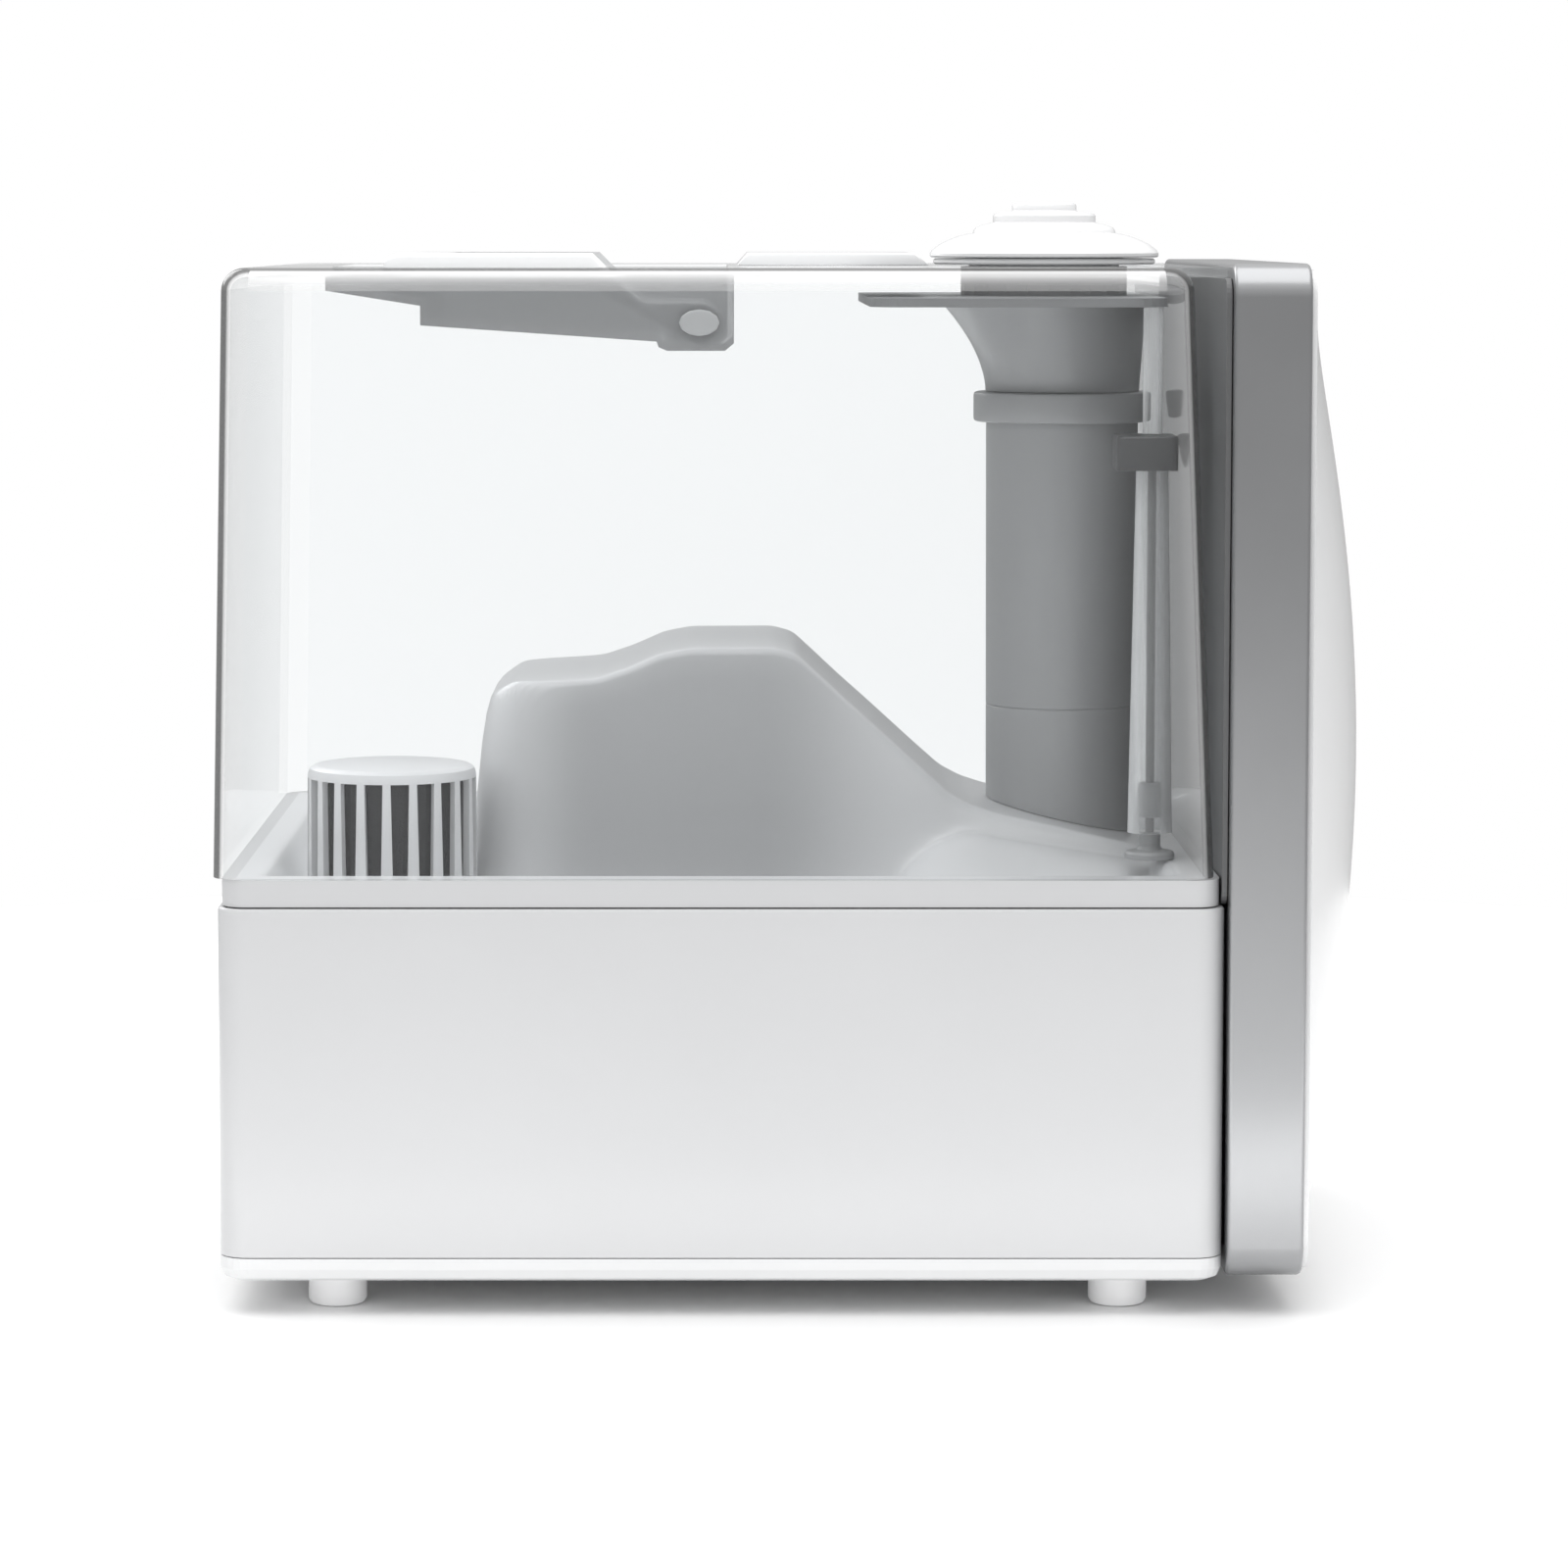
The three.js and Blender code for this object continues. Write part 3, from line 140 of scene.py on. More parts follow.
def moulded(name, colour, roughness=0.35, grain=0.02, grain_scale=2600, drift=0.02, coat=0.0, metal=0.0):
    if name in made:
        return made[name]
    material = bpy.data.materials.new(name)
    material.use_nodes = True
    tree = material.node_tree
    shader = tree.nodes["Principled BSDF"]
    place = tree.nodes.new("ShaderNodeTexCoord")
    flow = tree.nodes.new("ShaderNodeTexNoise")
    flow.inputs["Scale"].default_value = 14
    flow.inputs["Detail"].default_value = 3
    tint = tree.nodes.new("ShaderNodeValToRGB")
    for stop, share in zip(tint.color_ramp.elements, (1 - drift, 1 + drift)):
        stop.color = tuple(min(1.0, c * share) for c in colour) + (1,)
    tint.color_ramp.elements[0].position = 0.3
    tint.color_ramp.elements[1].position = 0.7
    fine = tree.nodes.new("ShaderNodeTexNoise")
    fine.inputs["Scale"].default_value = grain_scale
    fine.inputs["Detail"].default_value = 2
    gloss = tree.nodes.new("ShaderNodeMapRange")
    gloss.inputs["To Min"].default_value = roughness * 0.85
    gloss.inputs["To Max"].default_value = min(1.0, roughness * 1.15)
    bump = tree.nodes.new("ShaderNodeBump")
    bump.inputs["Strength"].default_value = grain
    bump.inputs["Distance"].default_value = 0.0002
    tree.links.new(place.outputs["Object"], flow.inputs["Vector"])
    tree.links.new(place.outputs["Object"], fine.inputs["Vector"])
    tree.links.new(flow.outputs["Fac"], tint.inputs["Fac"])
    tree.links.new(tint.outputs["Color"], shader.inputs["Base Color"])
    tree.links.new(flow.outputs["Fac"], gloss.inputs["Value"])
    tree.links.new(gloss.outputs["Result"], shader.inputs["Roughness"])
    tree.links.new(fine.outputs["Fac"], bump.inputs["Height"])
    tree.links.new(bump.outputs["Normal"], shader.inputs["Normal"])
    shader.inputs["Coat Weight"].default_value = coat
    shader.inputs["Coat Roughness"].default_value = 0.15
    shader.inputs["Metallic"].default_value = metal
    made[name] = material
    return material


body_with = {n: b for b, nodes in frame["record"]["behaviour"]["bodies"].items() for n in nodes}


# Turns a finished bmesh into a piece that rides on its body and stands for its nodes
def piece(name, work, material, nodes, soft_below=32):
    mesh = bpy.data.meshes.new(name)
    bmesh.ops.recalc_face_normals(work, faces=work.faces)
    work.to_mesh(mesh)
    work.free()
    mesh.materials.append(material)
    mesh.shade_smooth()
    mesh.set_sharp_from_angle(angle=math.radians(soft_below))
    made_piece = bpy.data.objects.new(name, mesh)
    scene.collection.objects.link(made_piece)
    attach(made_piece, body_with[nodes[0]])
    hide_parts(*nodes)
    return made_piece


def span(node):
    low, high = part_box(node)
    return tuple(low), tuple(high)


# A block between two corners with its upright edges rounded to `corner`
def block(low, high, corner, steps=8):
    work = bmesh.new()
    bmesh.ops.create_cube(work, size=1)
    low, high = Vector(low), Vector(high)
    bmesh.ops.scale(work, vec=high - low, verts=work.verts)
    bmesh.ops.translate(work, vec=(low + high) / 2, verts=work.verts)
    upright = [e for e in work.edges if abs(e.verts[0].co.z - e.verts[1].co.z) > 1e-6]
    if corner > 0:
        bmesh.ops.bevel(work, geom=upright, offset=corner, offset_type="OFFSET", affect="EDGES",
                        segments=steps, profile=0.5, material=-1)
    return work


# Replaces an object's mesh by what its modifiers make of it
def applied(made_piece):
    graph = bpy.context.evaluated_depsgraph_get()
    fresh = bpy.data.meshes.new_from_object(made_piece.evaluated_get(graph))
    made_piece.modifiers.clear()
    made_piece.data = fresh
    return made_piece


def wall_inwards(made_piece, thickness):
    shell = made_piece.modifiers.new("wall", "SOLIDIFY")
    shell.thickness = thickness
    shell.offset = -1
    shell.use_even_offset = True


def cut_by(made_piece, cutter_work):
    cutter_mesh = bpy.data.meshes.new("cutter")
    cutter_work.to_mesh(cutter_mesh)
    cutter_work.free()
    cutter = bpy.data.objects.new("cutter", cutter_mesh)
    scene.collection.objects.link(cutter)
    cut = made_piece.modifiers.new("cut", "BOOLEAN")
    cut.operation = "DIFFERENCE"
    cut.object = cutter
    cut.solver = "EXACT"
    applied(made_piece)
    bpy.data.objects.remove(cutter)
    bpy.data.meshes.remove(cutter_mesh)


base_white = moulded("base_white", (0.60, 0.604, 0.612), roughness=0.3, grain=0.03, drift=0.012, coat=0.15)
case_wall = 0.0025
case_corner = 0.008
shoulder_bevel = 0.0009
fit_gap = 0.0003  # clearance of parts that sit in each other
low, high = span("base_housing")
work = block(low, high, case_corner, 10)
open_ends = [f for f in work.faces if abs(f.normal.z) > 0.9]
bmesh.ops.delete(work, geom=open_ends, context="FACES_ONLY")
bmesh.ops.recalc_face_normals(work, faces=work.faces)
base_case = piece("base_case", work, base_white, ["base_housing"])
wall_inwards(base_case, case_wall)
applied(base_case)
work = bmesh.new()
work.from_mesh(base_case.data)
shoulder = [
    e for e in work.edges
    if all(abs(v.co.z - high[2]) < 1e-5 for v in e.verts) and e.calc_face_angle(0) > 1
]
bmesh.ops.bevel(work, geom=shoulder, offset=shoulder_bevel, offset_type="OFFSET", affect="EDGES",
                segments=3, profile=0.5, material=-1)
work.to_mesh(base_case.data)
work.free()
socket_low, socket_high = span("power_inlet")
cut_by(base_case, block(
    (socket_low[0] - 0.01, socket_low[1] - fit_gap, socket_low[2] - fit_gap),
    (low[0] + 0.01, socket_high[1] + fit_gap, socket_high[2] + fit_gap), 0))
base_case.data.set_sharp_from_angle(angle=math.radians(32))

# Bottom plate: a shallow white tray that closes the base, with the fan's intake slots.
# It is screwed up into four bosses at the corners.
def finish_nodes(material, *nodes):
    for node in nodes:
        mesh = frame["nodes"][node].data
        mesh.materials.clear()
        mesh.materials.append(material)


tray_white = moulded("tray_white", (0.74, 0.745, 0.75), roughness=0.4, grain=0.05)
finish_nodes(tray_white, "bottom_plate")
zinc = moulded("zinc_screw", (0.55, 0.55, 0.56), roughness=0.35, grain=0.05, metal=1.0)
finish_nodes(zinc, *[f"base_screw_{n}" for n in (1, 2, 3, 4)])

# Feet: four short round studs of soft white plastic, moulded with a rounded lower edge
# and pressed into the bottom plate.
# A round piece spun from an outline of (radius, z) points; a tube's outline comes back to its start
def spun(outline, centre, steps=64):
    work = bmesh.new()
    ring = [work.verts.new((r, 0, z)) for r, z in outline]
    closed = outline[0] == outline[-1]
    if closed:
        work.verts.remove(ring.pop())
    pairs = list(zip(ring, ring[1:])) + ([(ring[-1], ring[0])] if closed else [])
    edges = [work.edges.new(pair) for pair in pairs]
    bmesh.ops.spin(work, geom=ring + edges, axis=(0, 0, 1), cent=(0, 0, 0), angle=math.tau,
                   steps=steps, use_merge=True)
    bmesh.ops.remove_doubles(work, verts=work.verts, dist=1e-7)
    bmesh.ops.translate(work, vec=(centre[0], centre[1], 0), verts=work.verts)
    return work


def middle_of(node):
    low, high = span(node)
    return (low[0] + high[0]) / 2, (low[1] + high[1]) / 2


foot_white = moulded("foot_white", (0.9, 0.9, 0.905), roughness=0.55, grain=0.08)
for n in (1, 2, 3, 4):
    node = f"foot_{n}"
    low, high = span(node)
    r = (high[1] - low[1]) / 2
    outline = [(0, low[2]), (r - 0.0016, low[2]), (r - 0.0006, low[2] + 0.0004), (r, low[2] + 0.0014),
               (r, high[2]), (0, high[2])]
    piece(f"{node}_stud", spun(outline, middle_of(node)), foot_white, [node])

# Water basin: the white tray under the tank, with the fan turret standing in its middle.
# The mist transducer, the level float and the valve's riser are in it.
basin_white = moulded("basin_white", (0.72, 0.725, 0.735), roughness=0.32, grain=0.02)
finish_nodes(basin_white, "water_basin", "float_post")
disc_steel = moulded("disc_steel", (0.6, 0.6, 0.61), roughness=0.22, grain=0.03, metal=1.0)
low, high = span("transducer_disc")
r = (high[1] - low[1]) / 2
crown = high[2]
piece("mist_disc", spun(
    [(0, low[2]), (r - 0.0002, low[2]), (r, low[2] + 0.0002), (r, crown), (r * 0.62, crown),
     (r * 0.58, crown - 0.0002), (0, crown - 0.0002)], middle_of("transducer_disc")),
    disc_steel, ["transducer_disc"])
seal_grey = moulded("retainer_grey", (0.25, 0.255, 0.26), roughness=0.5, grain=0.06)
finish_nodes(seal_grey, "transducer_retainer")
float_white = moulded("float_foam", (0.78, 0.78, 0.77), roughness=0.7, grain=0.35, grain_scale=900)
low, high = span("level_float")
r = (high[1] - low[1]) / 2
bore = 0.0033
round_edge = 0.0014
piece("float_ring", spun(
    [(bore, low[2]), (r - round_edge, low[2]), (r, low[2] + round_edge), (r, high[2] - round_edge),
     (r - round_edge, high[2]), (bore, high[2]), (bore, low[2])], middle_of("level_float")),
    float_white, ["level_float"])

# Inside the base: fan, duct, boards, transformer and the power socket. The plastic ones are black
# or grey mouldings, the motor and heat sink are bare metal, and the boards are green laminate.
black_nylon = moulded("black_nylon", (0.035, 0.036, 0.038), roughness=0.45, grain=0.08)
finish_nodes(black_nylon, "fan_housing", "fan_impeller", "transformer", "power_inlet")
motor_steel = moulded("motor_steel", (0.5, 0.5, 0.51), roughness=0.32, grain=0.1, metal=1.0)
finish_nodes(motor_steel, "fan_motor")
sink_metal = moulded("sink_aluminium", (0.66, 0.66, 0.68), roughness=0.4, grain=0.1, metal=1.0)
finish_nodes(sink_metal, "heat_sink")
duct_grey = moulded("duct_grey", (0.33, 0.335, 0.34), roughness=0.5, grain=0.05)
finish_nodes(duct_grey, "air_duct")
board_green = moulded("board_green", (0.02, 0.13, 0.06), roughness=0.38, grain=0.2, grain_scale=700,
                      drift=0.2, coat=0.3)
finish_nodes(board_green, "power_board", "driver_board", "control_board")

# Front frame: a deep ring in silver metallic paint that runs round the whole front of the machine.
# Its front and rear edges are rounded and catch the light.
def metallic_paint(name, colour):
    paint = moulded(name, colour, roughness=0.3, grain=0.0, drift=0.03, coat=0.35, metal=0.85)
    tree = paint.node_tree
    place = tree.nodes.new("ShaderNodeTexCoord")
    flake = tree.nodes.new("ShaderNodeTexVoronoi")
    flake.inputs["Scale"].default_value = 3200
    sparkle = tree.nodes.new("ShaderNodeBump")
    sparkle.inputs["Strength"].default_value = 0.1
    sparkle.inputs["Distance"].default_value = 0.0001
    tree.links.new(place.outputs["Object"], flake.inputs["Vector"])
    tree.links.new(flake.outputs["Distance"], sparkle.inputs["Height"])
    tree.links.new(sparkle.outputs["Normal"], tree.nodes["Principled BSDF"].inputs["Normal"])
    return paint


silver = metallic_paint("silver_paint", (0.36, 0.364, 0.372))
frame_low, frame_high = span("front_frame")
ring_corner = 0.009
ring_wall = 0.008
edge_round = 0.0012


# Rounds the edges that run round a block at height z
def round_level(work, z, size, steps=5):
    ring = [e for e in work.edges if all(abs(v.co.z - z) < 1e-5 for v in e.verts)]
    bmesh.ops.bevel(work, geom=ring, offset=size, offset_type="OFFSET", affect="EDGES",
                    segments=steps, profile=0.5, material=-1)


def upright_bar(x0, x1, half, z0, z1, corner, round_size):
    work = block((-(z1 - z0) / 2, -half, x0), ((z1 - z0) / 2, half, x1), corner)
    round_level(work, x0, round_size, 4)
    round_level(work, x1, round_size, 4)
    turn = Matrix.Translation((0, 0, (z0 + z1) / 2)) @ Matrix.Rotation(math.radians(90), 4, "Y")
    bmesh.ops.transform(work, matrix=turn, verts=work.verts)
    work.normal_update()
    return work


work = upright_bar(frame_low[0], frame_high[0], frame_high[1], frame_low[2], frame_high[2],
                   ring_corner, edge_round)
ends = [f for f in work.faces if abs(f.normal.x) > 0.9999]
bmesh.ops.inset_region(work, faces=ends, thickness=ring_wall - edge_round, use_even_offset=True)
bmesh.ops.delete(work, geom=ends, context="FACES")
bmesh.ops.bridge_loops(work, edges=[e for e in work.edges if e.is_boundary])
piece("silver_ring", work, silver, ["front_frame"])

# Rear panel of the front tower: a thin grey moulded sheet behind the clear tank.
# It closes the frame from the rear.
panel_grey = moulded("panel_grey", (0.16, 0.162, 0.165), roughness=0.42, grain=0.05)
finish_nodes(panel_grey, "tower_panel")

# Fascia: a white pillow-shaped cover that swells out of the frame, flattest at its middle.
# The display window and three round buttons sit flush in it.
fascia_white = moulded("fascia_white", (0.82, 0.822, 0.827), roughness=0.22, grain=0.01,
                       drift=0.008, coat=0.4)
low, high = span("front_fascia")
face_rear = low[0] + 0.001
bulge = high[0] - face_rear
half = high[1]
middle_z = (low[2] + high[2]) / 2
tall = (high[2] - low[2]) / 2
corner = 0.009
work = bmesh.new()
bmesh.ops.create_grid(work, x_segments=108, y_segments=136, size=1)
for vert in work.verts:
    y, z = vert.co.x * half, vert.co.y * tall
    over_y = abs(y) - (half - corner)
    over_z = abs(z) - (tall - corner)
    if over_y > 0 and over_z > 0:
        u, v = over_y / corner, over_z / corner
        y = math.copysign(half - corner + corner * u * math.sqrt(1 - v * v / 2), y)
        z = math.copysign(tall - corner + corner * v * math.sqrt(1 - u * u / 2), z)
    swell = (1 - (abs(y) / half) ** 3.2) * (1 - (abs(z) / tall) ** 2)
    vert.co = (face_rear + bulge * swell, y, middle_z + z)
holes = []
for node in ("button_power", "button_mist", "button_timer"):
    b_low, b_high = span(node)
    holes.append(((b_low[1] + b_high[1]) / 2, (b_low[2] + b_high[2]) / 2,
                  (b_high[1] - b_low[1]) / 2 + fit_gap))
for cy, cz, r in holes:
    inside = [f for f in work.faces
              if all(math.hypot(v.co.y - cy, v.co.z - cz) < r + 0.0008 for v in f.verts)]
    rim = {v for f in inside for v in f.verts}
    bmesh.ops.delete(work, geom=inside, context="FACES")
    for vert in (v for v in rim if v.is_valid and v.is_boundary):
        away = Vector((vert.co.y - cy, vert.co.z - cz)).normalized() * r
        vert.co.y, vert.co.z = cy + away.x, cz + away.y
w_low, w_high = span("display_window")
pane_half = w_high[1] + fit_gap
pane = [f for f in work.faces
        if abs(f.calc_center_median().y) < pane_half
        and w_low[2] - fit_gap < f.calc_center_median().z < w_high[2] + fit_gap]
rim = {v for f in pane for v in f.verts}
bmesh.ops.delete(work, geom=pane, context="FACES")
for vert in (v for v in rim if v.is_valid and v.is_boundary):
    y, z = vert.co.y, vert.co.z
    if abs(abs(y) - pane_half) < 0.0022:
        vert.co.y = math.copysign(pane_half, y)
    if abs(z - w_low[2]) < 0.0018:
        vert.co.z = w_low[2] - fit_gap
    if abs(z - w_high[2]) < 0.0018:
        vert.co.z = w_high[2] + fit_gap
fascia = piece("fascia_cover", work, fascia_white, ["front_fascia"])
if fascia.data.polygons[0].normal.x < 0:
    fascia.data.flip_normals()
fascia_wall = 0.0022
wall_inwards(fascia, fascia_wall)
applied(fascia)
fascia.data.set_sharp_from_angle(angle=math.radians(40))

smoked = moulded("smoked_window", (0.012, 0.013, 0.015), roughness=0.08, grain=0.0, coat=0.6)
finish_nodes(smoked, "display_window")
button_grey = moulded("button_grey", (0.62, 0.63, 0.64), roughness=0.28, grain=0.03)
for node in ("button_power", "button_mist", "button_timer"):
    b_low, b_high = span(node)
    r = (b_high[1] - b_low[1]) / 2
    front = b_high[0]
    outline = [(0, b_low[0]), (0.0025, b_low[0]), (0.0025, front - 0.003), (r - 0.0004, front - 0.003),
               (r, front - 0.0026), (r, front - 0.0012), (r - 0.0004, front - 0.0004), (r - 0.0014, front),
               (r * 0.55, front - 0.0004), (0, front - 0.0006)]
    work = spun(outline, (0, 0), 48)
    bmesh.ops.transform(work, matrix=Matrix.Rotation(math.radians(90), 4, "Y"), verts=work.verts)
    bmesh.ops.translate(work, vec=(0, (b_low[1] + b_high[1]) / 2, (b_low[2] + b_high[2]) / 2),
                        verts=work.verts)
    piece(f"{node}_cap", work, button_grey, [node])

# Tank floor: one white moulding that closes the tank. Its rim lands on the base, a sunken floor runs round
# the two-step dome over the fan turret, and the dome falls away to the front where the chimney stands.
# Paints the upright side walls darker than the tops by the object-space normal, less so towards the ends given in
# fades: painted shade
def paint_side_shade(material, side_shade_tone, fades):
    tree = material.node_tree
    shader = tree.nodes["Principled BSDF"]
    plain = shader.inputs["Base Color"].links[0].from_socket
    place = tree.nodes.new("ShaderNodeTexCoord")
    split = tree.nodes.new("ShaderNodeSeparateXYZ")
    size = tree.nodes.new("ShaderNodeMath")
    size.operation = "ABSOLUTE"
    share = tree.nodes.new("ShaderNodeMapRange")
    share.interpolation_type = "SMOOTHSTEP"
    share.inputs["From Min"].default_value = 0.45
    share.inputs["From Max"].default_value = 0.98
    tones = tree.nodes.new("ShaderNodeMix")
    tones.data_type = "RGBA"
    tones.inputs[7].default_value = side_shade_tone + (1,)
    along = tree.nodes.new("ShaderNodeSeparateXYZ")
    tree.links.new(place.outputs["Object"], along.inputs[0])
    tree.links.new(place.outputs["Normal"], split.inputs[0])
    tree.links.new(split.outputs["Y"], size.inputs[0])
    tree.links.new(size.outputs[0], share.inputs["Value"])
    shade_amount = share.outputs["Result"]
    for start, end in fades:
        fade = tree.nodes.new("ShaderNodeMapRange")
        fade.interpolation_type = "SMOOTHSTEP"
        fade.inputs["From Min"].default_value = start
        fade.inputs["From Max"].default_value = end
        fade.inputs["To Min"].default_value = 0.3
        both = tree.nodes.new("ShaderNodeMath")
        both.operation = "MULTIPLY"
        tree.links.new(along.outputs["X"], fade.inputs["Value"])
        tree.links.new(shade_amount, both.inputs[0])
        tree.links.new(fade.outputs["Result"], both.inputs[1])
        shade_amount = both.outputs[0]
    tree.links.new(shade_amount, tones.inputs[0])
    tree.links.new(plain, tones.inputs[6])
    tree.links.new(tones.outputs[2], shader.inputs["Base Color"])


floor_white = moulded("floor_white", (0.72, 0.725, 0.735), roughness=0.3, grain=0.02, drift=0.012, coat=0.2)
f_low, f_high = span("tank_floor")
d_low, d_high = span("mist_dome")
# Painted shade on the dome's upright sides, eased off towards its rear and front
paint_side_shade(floor_white, (0.38, 0.384, 0.392),
              ((d_low[0] + 0.004, d_low[0] + 0.036), (d_low[0] + 0.128, d_low[0] + 0.082)))
cap_x, cap_y = middle_of("cartridge_cage")
chimney_x, chimney_y = middle_of("mist_chimney")
rim_top = f_high[2]
sunk = rim_top - 0.012
rim_band = 0.0115
dome_half = 0.046
dome_corner = 0.026
dome_rear = d_low[0]
dome_front = chimney_x - 0.0295
slope_front = d_high[0]
side_line = [  # the dome's side profile: x from its rear wall, height above the rim
    (0.0, -0.012), (0.002, 0.034), (0.006, 0.043), (0.013, 0.0475), (0.030, 0.0484), (0.037, 0.0490),
    (0.046, 0.0520),
    (0.055, 0.0560), (0.063, 0.0575), (0.087, 0.0576), (0.093, 0.0560), (0.099, 0.0505), (0.107, 0.0430),
    (0.116, 0.0350), (0.128, 0.0240), (0.137, 0.0160), (0.143, 0.0128), (0.150, 0.0105),
]


def smooth(t):
    t = min(1.0, max(0.0, t))
    return t * t * (3 - 2 * t)


def along_line(x):
    x -= dome_rear
    if x <= side_line[0][0]:
        return side_line[0][1]
    for (x0, z0), (x1, z1) in zip(side_line, side_line[1:]):
        if x <= x1:
            return z0 + (z1 - z0) * (x - x0) / (x1 - x0)
    last_x, last_z = side_line[-1]
    return last_z - (x - last_x) * 0.225


# How far a place is outside the dome's plan, whose rear corners are round; negative inside
def outside_dome(x, y):
    px = dome_rear + dome_corner - x
    py = abs(y) - (dome_half - dome_corner)
    if px > 0 and py > 0:
        return math.hypot(px, py) - dome_corner
    return max(px, py) - dome_corner if px > 0 or py > 0 else -dome_corner


def floor_height(x, y):
    edge = min(x - f_low[0], f_high[0] - x, y - f_low[1], f_high[1] - y)
    basin_side = smooth((edge - rim_band) / 0.004)
    ground = rim_top - (rim_top - sunk) * basin_side
    rise = rim_top + along_line(x)
    inside = smooth((0.004 - outside_dome(x, y)) / 0.0095)
    skirt = smooth((0.030 - outside_dome(x, y)) / 0.030) * smooth((x - dome_front + 0.030) / 0.036)
    foot = ground + (rise - ground) * inside
    flank = ground + max(0.0, rise - ground) * skirt * (0.72 if rise - rim_top < 0.03 else 0.3)
    top = max(foot, flank) if rise > ground else ground
    blend = smooth((slope_front + 0.004 - x) / 0.004)
    return ground + (top - ground) * blend


work = bmesh.new()
bmesh.ops.create_grid(work, x_segments=210, y_segments=166, size=1)
half_x, half_y = (f_high[0] - f_low[0]) / 2, (f_high[1] - f_low[1]) / 2
mid_x = (f_high[0] + f_low[0]) / 2
corner = 0.007
for vert in work.verts:
    x, y = vert.co.x * half_x, vert.co.y * half_y
    over_x, over_y = abs(x) - (half_x - corner), abs(y) - (half_y - corner)
    if over_x > 0 and over_y > 0:
        u, v = over_x / corner, over_y / corner
        x = math.copysign(half_x - corner + corner * u * math.sqrt(1 - v * v / 2), x)
        y = math.copysign(half_y - corner + corner * v * math.sqrt(1 - u * u / 2), y)
    vert.co = (mid_x + x, y, floor_height(mid_x + x, y))
for _ in range(2):
    inner = [v for v in work.verts if not v.is_boundary]
    bmesh.ops.smooth_vert(work, verts=inner, factor=0.5, use_axis_x=False, use_axis_y=False,
                          use_axis_z=True)
for cx, cy, r in ((cap_x, cap_y, 0.025), (chimney_x, chimney_y, 0.0200)):
    gone = [f for f in work.faces
            if all(math.hypot(v.co.x - cx, v.co.y - cy) < r + 0.0006 for v in f.verts)]
    rim = {v for f in gone for v in f.verts}
    bmesh.ops.delete(work, geom=gone, context="FACES")
    for vert in (v for v in rim if v.is_valid and v.is_boundary):
        away = Vector((vert.co.x - cx, vert.co.y - cy)).normalized() * r
        vert.co.x, vert.co.y = cx + away.x, cy + away.y
rim_reach = 0.0045
rim_depth = 0.0073
outer_rim = [
    e for e in work.edges
    if e.is_boundary and all(
        min(v.co.x - f_low[0], f_high[0] - v.co.x, v.co.y - f_low[1], f_high[1] - v.co.y) < rim_reach
        for v in e.verts)
]
turned_down = bmesh.ops.extrude_edge_only(work, edges=outer_rim)["geom"]
for vert in (g for g in turned_down if isinstance(g, bmesh.types.BMVert)):
    vert.co.z = rim_top - rim_depth
tank_base = piece("tank_base_moulding", work, floor_white, ["tank_floor", "mist_dome"], soft_below=50)
if tank_base.data.polygons[len(tank_base.data.polygons) // 2].normal.z < 0:
    tank_base.data.flip_normals()
floor_wall = 0.0022
wall_inwards(tank_base, floor_wall)
applied(tank_base)
tank_base.data.set_sharp_from_angle(angle=math.radians(55))
rim_white = moulded("rim_white", (0.57, 0.574, 0.582), roughness=0.3, grain=0.02, drift=0.012, coat=0.2)
tank_base.data.materials.append(rim_white)
for face in tank_base.data.polygons:
    x, y, z = face.center
    to_edge = min(x - f_low[0], f_high[0] - x, y - f_low[1], f_high[1] - y)
    if to_edge < 0.0035 and z < rim_top + 0.001:
        face.material_index = 1

# Chimney: a frosted tube of white plastic from the dome's slope up to the nozzle, drafted a little,
# with a fixing collar and a funnel that leans towards the rear. Its grey colour is painted shade.
# Grey base colour standing in for shade on white plastic: painted shade
chimney_shaded = moulded("frosted_grey", (0.36, 0.365, 0.372), roughness=0.38, grain=0.04, drift=0.02, coat=0.1)
low, high = span("mist_chimney")
r = (high[1] - low[1]) / 2
tube_wall = 0.002
ring_z = low[2] + 0.040
tube_outline = [
    (r - 0.0006, low[2]), (r - 0.0005, ring_z - 0.0003), (r - 0.0008, ring_z), (r - 0.0005, ring_z + 0.0003),
    (r - 0.0002, high[2]), (r - tube_wall, high[2]), (r - tube_wall, low[2]), (r - 0.0006, low[2]),
]
chimney = spun(tube_outline, (chimney_x, chimney_y), 96)
for vert in chimney.verts:
    if vert.co.z < low[2] + 0.01:
        vert.co.z = floor_height(vert.co.x, vert.co.y) + 0.0002
piece("chimney_tube", chimney, chimney_shaded, ["mist_chimney"])
low, high = span("chimney_collar")
r_out = (high[1] - low[1]) / 2
r_in = r + fit_gap
step = (high[2] + low[2]) / 2
soft = 0.0009
piece("chimney_ring", spun([
    (r_in, low[2]), (r_out - soft, low[2]), (r_out - soft * 0.3, low[2] + soft * 0.3), (r_out, low[2] + soft),
    (r_out, high[2] - soft), (r_out - soft * 0.3, high[2] - soft * 0.3), (r_out - soft, high[2]),
    (r - tube_wall, high[2]), (r - tube_wall, step + 0.0003), (r_in, step + 0.0003), (r_in, low[2])],
    (chimney_x, chimney_y), 96), chimney_shaded, ["chimney_collar"])
low, high = span("chimney_funnel")
nozzle_x, nozzle_y = middle_of("nozzle_dome")
wide = (high[1] - low[1]) / 2
steps = 14
flare_power = 1.6
flare = [(r + (wide - r) * (i / steps) ** flare_power, low[2] + (high[2] - low[2]) * i / steps)
         for i in range(steps + 1)]
lining = [(radius - tube_wall, z) for radius, z in reversed(flare)]
funnel = spun(flare + lining + flare[:1], (chimney_x, chimney_y), 96)
for vert in funnel.verts:
    t = (vert.co.z - low[2]) / (high[2] - low[2])
    vert.co.x += (nozzle_x - chimney_x) * t * t
